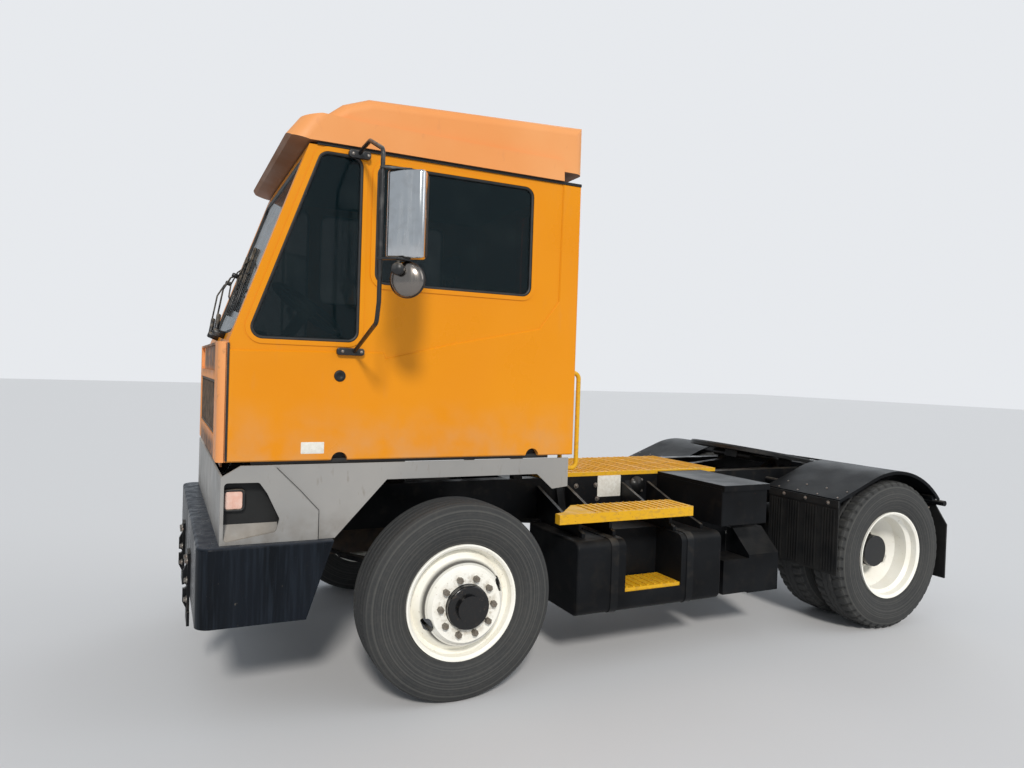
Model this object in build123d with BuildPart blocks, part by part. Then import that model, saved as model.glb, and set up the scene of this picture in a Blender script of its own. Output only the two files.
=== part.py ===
from build123d import *
import os
from math import acos, atan2, cos, degrees, hypot, radians, sin

# Terminal tractor, 4x2, one narrow cab set to the left of the frame.
# Millimetres. +X forward, +Y left, +Z up. The ground is z = 0, the middle of the length x = 0.

# Main stance. The cab and front end are placed from the front, the coupling from the rear axle.
wheelbase = 3170
front_overhang = 1280
rear_overhang = 650
overall_width = 3000
front_tip_x = (front_overhang + wheelbase + rear_overhang) / 2
rear_tip_x = front_tip_x - front_overhang - wheelbase - rear_overhang
front_axle_x = front_tip_x - front_overhang
rear_axle_x = front_axle_x - wheelbase
front_track = 2040
rear_outer_track = 2150
dual_spacing = 343
seat_gap = 0.3

# Tyres and rims, 22.5 inch
tyre_radius = 512
tyre_width = 275
tread_width = 206
rim_flange_radius = 298
rim_seat_radius = 286
rim_well_radius = 262
rim_seat_width = 210
rim_wall = 8
flange_width = 13
disc_offset = 168
disc_wall = 11
bead_gap = 0.3
axle_z = tyre_radius

# Hubs, wheel nuts and hand holes
hub_radius = 111
hub_fin_count = 10
nut_circle_radius = 143
nut_count = 10
nut_radius = 17
nut_height = 24
hand_hole_radius = 208
hand_hole_count = 2
hand_hole_length = 76
hand_hole_width = 42
drum_radius = 210
drum_wall = 14
spindle_radius = 38
spindle_gap = 0.6

# Frame rails
rail_outer_y = 432
rail_top = 1020
rail_height = 254
rail_flange = 85
rail_wall = 10
rail_front_x = front_tip_x - 190
rail_rear_x = rear_tip_x + 20
rail_bottom = rail_top - rail_height
rail_web_y = rail_outer_y - rail_wall
rail_inner_y = rail_outer_y - rail_flange

# Cab
cab_left_y = 970
cab_right_y = -480
cab_length = 1893
cab_front_x = front_axle_x + 1175
cab_rear_x = cab_front_x - cab_length
cab_side_front_x = cab_front_x - 45
cab_bottom = 1235
cab_belt = 1800
cab_eave = 2755
pillar_lean = 337
pillar_top_x = cab_side_front_x - pillar_lean
pillar_width = 63
cab_wall = 40
cab_middle_y = (cab_left_y + cab_right_y) / 2
cab_inner_left = cab_left_y - cab_wall
cab_inner_right = cab_right_y + cab_wall
raised_step = 8
floor_wall = 40
floor_top = cab_bottom + floor_wall
glass = 6
glass_gap = 0.3
windscreen_margin = 45
screen_frame_wall = 36
door_wall = 30
door_x = cab_rear_x - 8 - door_wall
door_right_y = 200
door_left_y = 800
door_bottom = 1262
door_top = 2740

# Fascia and grille
fascia_lower_z = 1185
grille_low = 1345
grille_high = 1612
grille_right_y = cab_right_y + 90
grille_left_y = 780
grille_recess = 22

# Roof fairing
roof_rear_x = cab_rear_x - 21
roof_skirt_rear_x = cab_rear_x + 123
roof_rear_top = 3104
roof_crown_x = cab_front_x - 675
roof_crown_z = 3034
roof_break_x = cab_front_x - 435
roof_break_z = 2905
roof_skirt_z = cab_eave + 15
roof_crease_z = 2886
visor_x = pillar_top_x + 103
visor_z = 2802
roof_side_gap = 12
roof_wall = 24

# Front sheet metal
bumper_front_x = front_tip_x - 33
bumper_half = 1015
bumper_top = 850
bumper_bottom = 480
bumper_wall = 12
hood_front_x = bumper_front_x - 97
hood_half = 966
hood_top = 1217
hood_front_top = 1165
hood_wall = 8
hood_rear_x = cab_rear_x + 21
arch_top = 1130

# Rear boom and coupling
boom_pivot_x = rear_axle_x + 950
boom_pivot_z = 900
boom_hub_radius = 60
boom_pin_radius = 30
boom_inner_y = 220
boom_outer_y = 280
coupling_pivot_x = rear_axle_x + 155
coupling_pivot_z = 1020
coupling_tilt = 9.5
coupling_rise = 97
coupling_plate = 35
coupling_skin = 14
coupling_half = 460
coupling_front = 520
coupling_tail = -520
coupling_neck = -190
coupling_pin_radius = 25
throat_half = 120
king_pin_radius = 26
ear_inner_y = 290
ear_outer_y = 335

# Lift cylinders
lift_base_x = rear_axle_x + 860
lift_base_z = 620
lift_eye_x = rear_axle_x + 480
lift_eye_z = 880
lift_y = 140
lift_barrel_radius = 55
lift_rod_radius = 25
lift_pin_radius = 25
lift_eye_gap = 4.5
pin_gap = 0.5

# Drive line
propshaft_radius = 48
gearbox_rear_x = front_axle_x - 370
axle_nose = 340

# Cab hinge
cab_pivot_x = cab_front_x - 95
cab_pivot_z = 1080
cab_pin_radius = 15
hinge_y = 390

# Left side: tank, steps and boxes
tank_front_x = cab_rear_x + 20
tank_rear_x = cab_rear_x - 1013
tank_inner_y = 500
tank_outer_y = 1100
tank_bottom = 336
tank_top = 756
tank_corner = 50
recess_front_x = tank_front_x - 322
recess_rear_x = tank_rear_x + 311
recess_floor = 450
step_z = 920
step_depth = 54
step_sheet = 8
box_bottom = 780
box_top = 1010

# Rear fenders, all from the rear axle
fender_lip = (rear_axle_x + 539, 920)
fender_centre = (rear_axle_x - 20, 470)
fender_radius = 622
fender_sheet = 6
fender_tail_angle = 139
fender_tube_radius = 20
fender_inner_y = 560
fender_outer_y = 1200
flap_bar_x = rear_axle_x - 580
flap_bar_z = 840

# Mirrors
mirror_x = cab_front_x - 602
mirror_tube_y = overall_width / 2 - 40
mirror_tube_radius = 12
mirror_depth = 80

# Driver's place
driver_y = 450
steer_wheel_x = cab_front_x - 485
steer_wheel_z = 2000
steer_wheel_radius = 210
steer_rim_radius = 16
column_lean = 35

# Steering and front springs
king_y = 880
king_pin = 20
steering_arm = 210
steering_arm_low = axle_z - 112
spring_z = 543
leaf = 14
leaf_count = 3
spring_span = 620


# Planes and small shapes

def side_plane(y):
    """A plane whose own axes are X and Z, and whose extrusions go towards -Y."""
    return Plane(origin=(0, y, 0), x_dir=(1, 0, 0), z_dir=(0, -1, 0))


def cross_plane(x, z=0):
    """A plane whose own axes are Y and Z, and whose extrusions go towards +X."""
    return Plane(origin=(x, 0, z), x_dir=(0, 1, 0), z_dir=(1, 0, 0))


def block(x_span, y_span, z_span, mode=Mode.ADD):
    """A box between two corners."""
    spans = (x_span, y_span, z_span)
    centre = tuple((low + high) / 2 for low, high in spans)
    size = tuple(abs(high - low) for low, high in spans)
    with Locations(centre):
        Box(*size, mode=mode)


def about(middle, width):
    """The span of a width about its middle."""
    return (middle - width / 2, middle + width / 2)


def shaft_y(x, z, y_span, radius, mode=Mode.ADD):
    """A round bar along Y."""
    with Locations(Location((x, sum(y_span) / 2, z), (90, 0, 0))):
        Cylinder(radius, abs(y_span[1] - y_span[0]), mode=mode)


def shaft_x(y, z, x_span, radius, mode=Mode.ADD):
    """A round bar along X."""
    with Locations(Location((sum(x_span) / 2, y, z), (0, 90, 0))):
        Cylinder(radius, abs(x_span[1] - x_span[0]), mode=mode)


def shaft_z(x, y, z_span, radius, mode=Mode.ADD):
    """A round bar along Z."""
    with Locations((x, y, sum(z_span) / 2)):
        Cylinder(radius, abs(z_span[1] - z_span[0]), mode=mode)


def side_panel(points, y_span, corner=0, mode=Mode.ADD):
    """A flat panel with a polygon outline in X and Z, its corners rounded if a radius is given."""
    with BuildSketch(side_plane(max(y_span))) as outline:
        with BuildLine():
            Polyline(*points, close=True)
        make_face()
        if corner:
            fillet(outline.vertices(), corner)
    extrude(outline.sketch, amount=abs(y_span[1] - y_span[0]), mode=mode)


def cross_panel(points, x_span, mode=Mode.ADD):
    """A flat panel with a polygon outline in Y and Z."""
    with BuildSketch(cross_plane(min(x_span))) as outline:
        with BuildLine():
            Polyline(*points, close=True)
        make_face()
    extrude(outline.sketch, amount=abs(x_span[1] - x_span[0]), mode=mode)


def bent_tube(points, radius, bend):
    """A round tube along straight runs joined by tangent arcs."""
    with BuildLine() as path:
        FilletPolyline(*points, radius=bend)
    with BuildSketch(Plane(origin=path.line @ 0, z_dir=path.line % 0)) as section:
        Circle(radius)
    sweep(section.sketch, path=path.line)


# Chassis

def frame_rails():
    """Two channel rails, open towards each other."""
    outline = [
        (rail_outer_y, rail_bottom), (rail_outer_y, rail_top), (rail_inner_y, rail_top),
        (rail_inner_y, rail_top - rail_wall), (rail_web_y, rail_top - rail_wall),
        (rail_web_y, rail_bottom + rail_wall), (rail_inner_y, rail_bottom + rail_wall),
        (rail_inner_y, rail_bottom),
    ]
    with BuildPart() as rails:
        cross_panel(outline, (rail_rear_x, rail_front_x))
        mirror(about=Plane.XZ)
    return rails.part


def frame_crossmembers():
    """Cross channels, the boom's pivot pins, the lift cylinders' lugs and the cab's hinge posts."""
    low = rail_bottom + rail_wall
    high = rail_top - rail_wall
    lift_beam_x = boom_pivot_x - 70
    hub_inner_y = boom_outer_y + 20
    lug_inner_y, lug_wall = 200, 16
    with BuildPart() as members:
        # middle, width along X, top
        for x, width, top in [
            (rail_front_x - 50, 90, high),
            (cab_rear_x + 68, 90, high),
            (lift_beam_x, 70, low + 50),
            (rail_rear_x + 40, 70, high),
        ]:
            block(about(x, width), (-rail_web_y, rail_web_y), (low, top))
        block((rear_tip_x, rail_rear_x), (-rail_outer_y, rail_outer_y), (rail_bottom, rail_top))
        for side in (-1, 1):
            shaft_y(boom_pivot_x, boom_pivot_z, (side * (boom_inner_y + 10), side * rail_web_y),
                    boom_pin_radius)
            shaft_y(boom_pivot_x, boom_pivot_z, (side * hub_inner_y, side * rail_web_y), boom_hub_radius)
            lug = [
                (lift_beam_x + 35, low), (lift_beam_x - 35, low), (lift_base_x - 45, lift_base_z - 20),
                (lift_base_x - 20, lift_base_z - 45), (lift_base_x + 20, lift_base_z - 45),
                (lift_base_x + 45, lift_base_z - 20),
            ]
            side_panel(lug, (side * lug_inner_y, side * (lug_inner_y + lug_wall)))
            shaft_y(lift_base_x, lift_base_z, (side * (lift_y - 55), side * lug_inner_y), lift_pin_radius)
            for y in (hinge_y - 24, hinge_y + 24):
                post = [
                    (cab_pivot_x - 60, rail_top), (cab_pivot_x + 15, rail_top),
                    (cab_pivot_x + 20, cab_pivot_z + 10), (cab_pivot_x + 5, cab_pivot_z + 25),
                    (cab_pivot_x - 20, cab_pivot_z + 25),
                ]
                side_panel(post, (side * (y - 6), side * (y + 6)))
            shaft_y(cab_pivot_x, cab_pivot_z, (side * (hinge_y - 30), side * (hinge_y + 30)), cab_pin_radius)
            block(about(cab_rear_x + 68, 60), (side * 360, side * 420), (rail_top, cab_bottom - seat_gap))
    return members.part


def front_bumper():
    """Deep pressed bumper, open behind and below, with two mounting plates onto the rails."""
    rear_top_x = bumper_front_x - 614
    rear_low_x = bumper_front_x - 490
    ledge = 150
    corner, top_round = 70, 14
    inner_front_x = bumper_front_x - bumper_wall
    inner_half = bumper_half - bumper_wall
    with BuildPart() as bumper:
        block((rear_top_x, bumper_front_x), (-bumper_half, bumper_half), (bumper_bottom, bumper_top))
        fillet(bumper.edges().filter_by(Axis.Z).group_by(Axis.X)[-1], corner)
        rim = bumper.faces().sort_by(Axis.Z)[-1].edges()
        fillet(rim.filter_by(lambda edge: edge.center().X > rear_top_x + 1), top_round)
        block((rear_top_x, inner_front_x), (-inner_half, inner_half),
              (bumper_bottom, bumper_top - bumper_wall), mode=Mode.SUBTRACT)
        block((rear_top_x, bumper_front_x - ledge), (-bumper_half + ledge, bumper_half - ledge),
              (bumper_bottom, bumper_top), mode=Mode.SUBTRACT)
        side_panel([(rear_top_x, bumper_top), (rear_low_x, bumper_bottom), (rear_top_x, bumper_bottom)],
                   (-bumper_half, bumper_half), mode=Mode.SUBTRACT)
        for side in (-1, 1):
            block((rail_front_x - 180, inner_front_x),
                  (side * rail_outer_y, side * (rail_outer_y + bumper_wall)),
                  (bumper_bottom + 120, bumper_top - bumper_wall))
    return bumper.part


def tow_plates():
    """Two bolted tow plates, each with a flared upright and a pin hole."""
    plate, upright, pin_z = 14, 28, 520
    plate_low, plate_top = bumper_bottom - 80, bumper_top - 150
    foot_low = plate_low - 70
    face = bumper_front_x
    with BuildPart() as plates:
        for side in (-1, 1):
            middle = side * (rail_outer_y - 42)
            block((face, face + plate), about(middle, 120), (plate_low, plate_top))
            outline = [(face + plate, pin_z + 120), (front_tip_x, pin_z + 80), (front_tip_x, pin_z - 80),
                       (face + plate, pin_z - 120)]
            side_panel(outline, about(middle, upright))
            block((face, face + plate), about(middle, 170), (foot_low, plate_low))
            shaft_y(front_tip_x - 4, pin_z, about(middle, upright + 2), 14, mode=Mode.SUBTRACT)
    return plates.part


def bezel_outline():
    """Raised front part of a hood side, in X and Z."""
    return [
        (hood_front_x, bumper_top), (hood_front_x, hood_front_top), (hood_front_x - 86, hood_top),
        (hood_front_x - 230, hood_top), (hood_front_x - 447, 988), (hood_front_x - 447, bumper_top),
    ]


def lamp_opening():
    """The lamp opening's outline in a hood side, in X and Z."""
    low, top = bumper_top + 12, hood_front_top - 26
    return [
        (hood_front_x - 15, low), (hood_front_x - 15, top), (hood_front_x - 170, top - 2),
        (hood_front_x - 207, top - 55), (hood_front_x - 266, low + 98), (hood_front_x - 250, low + 38),
    ]


def front_fenders():
    """Grey hood: sides with a wheel arch and a raised lamp bezel, a front sheet and a top beside the cab."""
    inner_half = hood_half - hood_wall
    skin_half = inner_half - hood_wall
    beside_cab = cab_right_y - 20
    arch_front_x = front_axle_x + 619
    inner_front_x = hood_front_x - hood_wall
    tail_low = arch_top - 87
    sill_low, sill_high, sill_drop = bumper_top + 6, bumper_top + 85, 10
    side = [
        (hood_front_x, bumper_top), (hood_front_x, hood_front_top), (hood_front_x - 86, hood_top),
        (hood_rear_x, hood_top), (hood_rear_x, tail_low + 11), (hood_rear_x + 100, tail_low),
        (hood_rear_x + 198, arch_top), (front_axle_x + 363, arch_top), (arch_front_x, bumper_top),
    ]
    open_below = [
        (inner_front_x, 0), (inner_front_x, hood_front_top - 5), (hood_front_x - 88, hood_top - hood_wall),
        (hood_rear_x - 1, hood_top - hood_wall), (hood_rear_x - 1, 0),
    ]
    open_above = [(inner_front_x, 0), (inner_front_x, hood_top + 1), (hood_rear_x - 1, hood_top + 1),
                  (hood_rear_x - 1, 0)]
    with BuildPart() as fenders:
        side_panel(side, (-inner_half, inner_half))
        side_panel(open_below, (-skin_half, skin_half), mode=Mode.SUBTRACT)
        side_panel(open_above, (beside_cab, skin_half), mode=Mode.SUBTRACT)
        for end in (-1, 1):
            side_panel(bezel_outline(), (end * inner_half, end * hood_half))
            side_panel(lamp_opening(), (end * (skin_half - 1), end * (hood_half + 1)), corner=18,
                       mode=Mode.SUBTRACT)
            sill = [(end * (inner_half - 2), sill_low), (end * (hood_half - 2), sill_low),
                    (end * (skin_half - 45), sill_high), (end * (skin_half - 45), sill_high - sill_drop)]
            cross_panel(sill, (hood_front_x - 262, inner_front_x))
            block((rail_front_x - 60, inner_front_x), (end * rail_outer_y, end * skin_half),
                  (bumper_top, bumper_top + hood_wall))
    return fenders.part


def headlamps():
    """Square lamps in dark housings behind the hood's corner openings."""
    housing_y = hood_half - 2 * hood_wall - 47
    low, top = bumper_top + 55, hood_front_top - 15
    housing_depth, lens_depth = 60, 12
    lens_x, lens_z = hood_front_x - 62, low + 145
    outline = [
        (hood_front_x - hood_wall, low + 20), (hood_front_x - hood_wall, top), (hood_front_x - 175, top),
        (hood_front_x - 275, low + 45), (hood_front_x - 262, low), (hood_front_x - 60, low),
    ]
    with BuildPart() as lamps:
        for side in (-1, 1):
            side_panel(outline, (side * (housing_y - housing_depth), side * housing_y))
            with BuildSketch(side_plane(side * housing_y)) as lens:
                with Locations((lens_x, lens_z)):
                    RectangleRounded(96, 104, 14)
            extrude(lens.sketch, amount=-side * lens_depth)
    return lamps.part


def deck_plate():
    """Plank deck over the rails behind the cab, each plank ridged across the frame."""
    front_x = cab_rear_x - 82
    rear_x = boom_pivot_x - 30
    right_y = -300
    plank_count, slot, sheet, ridge = 10, 10, 25, 5
    pitch = (front_x - rear_x) / plank_count
    with BuildPart() as deck:
        block((rear_x, front_x), (right_y, rail_outer_y), (rail_top, rail_top + sheet))
        for index in range(plank_count):
            plank_x = rear_x + (index + 0.5) * pitch
            if index:
                block(about(plank_x - pitch / 2, slot), (right_y + 20, rail_outer_y - 20),
                      (rail_top, rail_top + sheet), mode=Mode.SUBTRACT)
            for offset_x in (-0.28, 0, 0.28):
                block(about(plank_x + offset_x * pitch, 12), (right_y + 20, rail_outer_y - 20),
                      (rail_top + sheet, rail_top + sheet + ridge))
    return deck.part


def side_step():
    """Upper boarding step on the left: a deep outer bar and a ridged tread, open below."""
    front_x, rear_x = tank_front_x + 125, tank_rear_x + 221
    inner_y, outer_y = tank_outer_y - 250, tank_outer_y
    ridge, ridge_pitch = 5, 46
    low = step_z - step_depth
    with BuildPart() as step:
        with BuildSketch(Plane.XY.offset(low)) as outline:
            with BuildLine():
                Polyline((front_x, outer_y), (rear_x + 14, outer_y), (rear_x, outer_y - 16),
                         (rear_x, inner_y), (front_x - 215, inner_y), (front_x - 60, outer_y - 70),
                         (front_x, outer_y - 50), close=True)
            make_face()
        extrude(outline.sketch, amount=step_depth)
        with BuildSketch(Plane.XY.offset(low)) as hollow:
            add(outline.sketch_local)
            offset(amount=-step_sheet, kind=Kind.INTERSECTION)
        extrude(hollow.sketch, amount=step_depth - step_sheet, mode=Mode.SUBTRACT)
        for index in range(int((front_x - 240 - rear_x) / ridge_pitch)):
            block(about(rear_x + 40 + index * ridge_pitch, 12), (inner_y + 12, outer_y - 22),
                  (step_z, step_z + ridge))
    return step.part


def tank_section(x, grow):
    """The tank's section with its outer corners rounded, larger by grow all round."""
    with BuildSketch(cross_plane(x)) as section:
        with Locations(((tank_inner_y + tank_outer_y) / 2, (tank_bottom + tank_top) / 2)):
            Rectangle(tank_outer_y - tank_inner_y, tank_top - tank_bottom)
        fillet(section.vertices().group_by(Axis.X)[-1], tank_corner)
        if grow:
            offset(amount=grow)
    return section.sketch


def fuel_tank():
    """Left tank with rounded outer edges and a step recess."""
    with BuildPart() as tank:
        extrude(tank_section(tank_rear_x, 0), amount=tank_front_x - tank_rear_x)
        ends = tank.faces().filter_by(Axis.X)
        fillet(ends.edges(), 16)
        block((recess_rear_x, recess_front_x), (tank_outer_y - 250, tank_outer_y + 1),
              (recess_floor, tank_top + 1), mode=Mode.SUBTRACT)
    return tank.part


def tank_brackets():
    """Gussets from the rail over the tank with posts to the upper step, and hangers with straps."""
    gusset_wall, strap_width, strap_wall = 20, 50, 4
    post_y = (tank_outer_y - 200, tank_outer_y - 140)
    post_top = step_z - step_sheet - seat_gap
    strap_y = tank_inner_y - strap_wall
    # middle along X, and whether a post goes up to the step
    gussets = [
        (recess_front_x + 230, True),
        (recess_front_x + 20, True),
        (recess_rear_x - 20, True),
        (tank_rear_x + 81, False),
    ]
    with BuildPart() as brackets:
        for x, has_post in gussets:
            arm = [(rail_outer_y, 970), (rail_outer_y, rail_bottom), (tank_inner_y + 10, tank_top),
                   (post_y[1] + 40, tank_top), (post_y[1] + 40, tank_top + 28), (post_y[0], tank_top + 56)]
            cross_panel(arm, about(x, gusset_wall))
            if has_post:
                block(about(x, gusset_wall), post_y, (tank_top + 10, post_top))
        for x in (recess_front_x + 50, recess_rear_x - 90):
            extrude(tank_section(x, strap_wall), amount=strap_width)
            extrude(tank_section(x, 0), amount=strap_width, mode=Mode.SUBTRACT)
            hanger = [(rail_outer_y, 980), (rail_outer_y, rail_bottom), (strap_y - 12, tank_top - 60),
                      (strap_y - 12, tank_bottom + 60), (strap_y, tank_bottom + 40), (strap_y, tank_top - 10),
                      (strap_y, tank_top + 40)]
            cross_panel(hanger, (x, x + strap_width))
    return brackets.part


def tank_tread():
    """Lower tread in the tank's recess, ridged across."""
    ridge_pitch = 50
    span_y = (tank_outer_y - 230, tank_outer_y - 10)
    tread_top = recess_floor + 20
    with BuildPart() as tread:
        block((recess_rear_x, recess_front_x), span_y, (recess_floor, tread_top))
        for index in range(int((recess_front_x - recess_rear_x) / ridge_pitch)):
            ridge_x = recess_rear_x + (index + 0.5) * ridge_pitch
            block(about(ridge_x, 12), (span_y[0] + 10, span_y[1] - 10), (tread_top, tread_top + 5))
    return tread.part


def equipment_box():
    """Battery box behind the tank with a lipped lid, two lower cases, and air tanks on the right rail."""
    front_x, rear_x = tank_rear_x, tank_rear_x - 372
    outer_y = tank_outer_y - 10
    corner = 10
    case_split_x = rear_x + 48
    air_tank_radius, air_tank_y = 105, -(rail_outer_y + 130)
    with BuildPart() as box:
        block((rear_x, front_x), (rail_outer_y, outer_y), (box_bottom, box_top))
        fillet(box.edges().group_by(Axis.Y)[-1], corner)
        block((rear_x - 8, front_x - 2), (rail_outer_y, outer_y + 12), (box_top - 12, box_top + 25))
        block((case_split_x + 20, front_x - 20), (780, 800), (tank_bottom, box_bottom))
        block((case_split_x, case_split_x + 213), (790, 1000), (320, 537))
        case = [(780, 311), (780, 700), (840, 700), (1000, 558), (1000, 311)]
        cross_panel(case, (case_split_x - 256, case_split_x))
        block((case_split_x - 236, case_split_x - 40), (780, 800), (690, box_bottom))
        for z in (rail_top - 140, rail_bottom - 116):
            shaft_x(air_tank_y, z, (boom_pivot_x - 50, boom_pivot_x + 650), air_tank_radius)
        for x in (boom_pivot_x + 100, boom_pivot_x + 500):
            block(about(x, 40), (-rail_outer_y, -rail_outer_y - 40), (rail_bottom - 160, rail_top - 40))
    return box.part


def fender_point(angle, radius):
    """A point in X and Z at an angle round the fender's centre."""
    turn = radians(angle)
    return (fender_centre[0] + radius * cos(turn), fender_centre[1] + radius * sin(turn))


def fender_tangent():
    """Where the flat front of the fender runs into its round top."""
    dx = fender_lip[0] - fender_centre[0]
    dz = fender_lip[1] - fender_centre[1]
    angle = atan2(dz, dx) + acos(fender_radius / hypot(dx, dz))
    return fender_point(degrees(angle), fender_radius)


def fender_strip(y_span, wall, inset):
    """A strip along the fender's outline, thick by wall and inset from its middle line."""
    tangent = fender_tangent()
    radius = fender_radius - inset
    shift = tuple(inset * (middle - top) / fender_radius for top, middle in zip(tangent, fender_centre))
    lip = (fender_lip[0] + shift[0], fender_lip[1] + shift[1])
    start = (tangent[0] + shift[0], tangent[1] + shift[1])
    with BuildSketch(side_plane(max(y_span))) as strip:
        with BuildLine():
            Line(lip, start)
            ThreePointArc(start, fender_point(100, radius), fender_point(fender_tail_angle, radius))
        trace(line_width=wall)
    extrude(strip.sketch, amount=abs(y_span[1] - y_span[0]))


def rear_fenders():
    """Half round fenders over the twin wheels, flat at the front, with a turned down outer edge."""
    edge_depth, edge_wall = 22, 5
    with BuildPart() as fenders:
        for side in (-1, 1):
            span = (side * fender_inner_y, side * fender_outer_y)
            fender_strip(span, fender_sheet, 0)
            fender_strip((side * (fender_outer_y - edge_wall), side * fender_outer_y), edge_depth,
                         edge_depth / 2 - fender_sheet / 2)
            block((fender_lip[0] - fender_sheet, fender_lip[0]), span, (fender_lip[1] - 60, fender_lip[1]))
    return fenders.part


def fender_brackets():
    """Tubes that carry the rear fenders and the mud flaps."""
    tangent = fender_tangent()
    under = fender_sheet / 2 + fender_tube_radius + seat_gap
    share = 0.36
    front = tuple(
        lip + share * (top - lip) + under * (middle - top) / fender_radius
        for lip, top, middle in zip(fender_lip, tangent, fender_centre)
    )
    rear = fender_point(fender_tail_angle - 3, fender_radius - under)
    with BuildPart() as brackets:
        for side in (-1, 1):
            for x, z in (front, rear, (flap_bar_x, flap_bar_z)):
                shaft_y(x, z, (side * rail_outer_y, side * (fender_outer_y - 20)), fender_tube_radius)
    return brackets.part


def mud_guards():
    """Ribbed rubber shields ahead of the rear wheels and plain flaps with a cut corner behind them."""
    shield_low, flap_low = 420, 300
    inner_y = fender_outer_y - 600
    sheet, rib, panel_count = 7, 6, 4
    pitch = (fender_outer_y - inner_y) / panel_count
    with BuildPart() as guards:
        for side in (-1, 1):
            face_x = fender_lip[0] + sheet
            high = fender_lip[1] - 5
            block((fender_lip[0], face_x), (side * inner_y, side * fender_outer_y), (shield_low, high))
            block((face_x, face_x + rib), (side * inner_y, side * fender_outer_y), (high - 45, high))
            for index in range(panel_count):
                middle = side * (inner_y + (index + 0.5) * pitch)
                for offset_y in (-0.3, -0.15, 0, 0.15, 0.3):
                    block((face_x, face_x + rib), about(middle + offset_y * pitch, 9),
                          (shield_low + 20, high - 60))
            flap = [
                (side * inner_y, flap_low), (side * inner_y, flap_bar_z - fender_tube_radius),
                (side * (fender_outer_y - 90), flap_bar_z - fender_tube_radius),
                (side * fender_outer_y, flap_bar_z - 150), (side * fender_outer_y, flap_low),
            ]
            cross_panel(flap, about(flap_bar_x, 12))
    return guards.part


def rear_lamps():
    """Tail lamp boxes on the rails' rear ends, each with two round lenses."""
    inner_y, outer_y = rail_outer_y, rail_outer_y + 210
    low, high = flap_bar_z + 28, flap_bar_z + 128
    with BuildPart() as lamps:
        for side in (-1, 1):
            block((rail_rear_x, rail_rear_x + 40), (side * inner_y, side * outer_y), (low, high))
            for y in (inner_y + 60, inner_y + 150):
                shaft_x(side * y, (low + high) / 2, (rail_rear_x - 12, rail_rear_x), 40)
    return lamps.part


def front_axle():
    """Drop beam with a kingpin at each end and a spring seat on each arm."""
    half, bend, drop = king_y - 40, 700, 560
    low, high = axle_z - 47, axle_z + 43
    drop_low, drop_high = low - 80, high - 70
    beam = [
        (-half, high), (-half, low), (-bend, low), (-drop, drop_low), (drop, drop_low), (bend, low),
        (half, low), (half, high), (bend, high), (drop, drop_high), (-drop, drop_high), (-bend, high),
    ]
    pad_top = spring_z - leaf * (leaf_count - 1) - leaf / 2 - seat_gap
    with BuildPart() as axle:
        cross_panel(beam, about(front_axle_x, 90))
        for side in (-1, 1):
            shaft_z(front_axle_x, side * king_y, about(axle_z + 0.5, 155), 45)
            shaft_z(front_axle_x, side * king_y, about(axle_z + 0.5, 255), king_pin)
            block(about(front_axle_x, 120), (side * (hinge_y - 38), side * (hinge_y + 38)),
                  (drop_high, pad_top))
    return axle.part


def front_springs():
    """Stacked leaf springs, each leaf shorter and lower than the one above, with hangers under the rails."""
    spring_y = (hinge_y - 38, hinge_y + 38)
    rise_at_end = 160
    with BuildPart() as springs:
        for side in (-1, 1):
            y_span = (side * spring_y[0], side * spring_y[1])
            for index in range(leaf_count):
                half = spring_span - 150 * index
                low = spring_z - leaf * index
                high = low + rise_at_end * (half / spring_span) ** 2
                with BuildSketch(side_plane(max(y_span))) as sheet:
                    with BuildLine():
                        ThreePointArc((front_axle_x - half, high), (front_axle_x, low),
                                      (front_axle_x + half, high))
                    trace(line_width=leaf)
                extrude(sheet.sketch, amount=spring_y[1] - spring_y[0])
            for end in (-1, 1):
                block(about(front_axle_x + end * spring_span, 80), y_span, (spring_z + 147, rail_bottom))
    return springs.part


def knuckle(side):
    """Steering knuckle with ears above and below the beam, spindle and steering arm."""
    arm_x = front_axle_x - steering_arm
    upright_y = front_track / 2 - 45
    low, high, ear = axle_z - 125, axle_z + 126, 42
    arm_span = (steering_arm_low, low + ear)
    with BuildPart() as piece:
        for span in [(high - ear, high), (low, low + ear)]:
            shaft_z(front_axle_x, side * king_y, span, 48)
            block(about(front_axle_x, 96), (side * king_y, side * upright_y), span)
        block(about(front_axle_x, 120), (side * (upright_y - 40), side * upright_y), (low, high))
        shaft_y(front_axle_x, axle_z, (side * upright_y, side * (upright_y + 215)), spindle_radius)
        block((arm_x, front_axle_x), (side * (king_y - 20), side * (king_y + 20)), arm_span)
        shaft_z(arm_x, side * king_y, arm_span, 28)
        shaft_z(front_axle_x, side * king_y, (low - 7, high + 12), king_pin + pin_gap, mode=Mode.SUBTRACT)
    return piece.part


def tie_rod():
    """Tie rod between the steering arms, under their ends."""
    arm_x = front_axle_x - steering_arm
    rod_z = steering_arm_low - 22
    with BuildPart() as rod:
        shaft_y(arm_x, rod_z, (-king_y, king_y), 17)
        for side in (-1, 1):
            shaft_z(arm_x, side * king_y, (rod_z - 20, steering_arm_low - 2 * seat_gap), 24)
            shaft_y(arm_x, rod_z, (side * (king_y - 150), side * (king_y - 60)), 22)
    return rod.part


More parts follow.
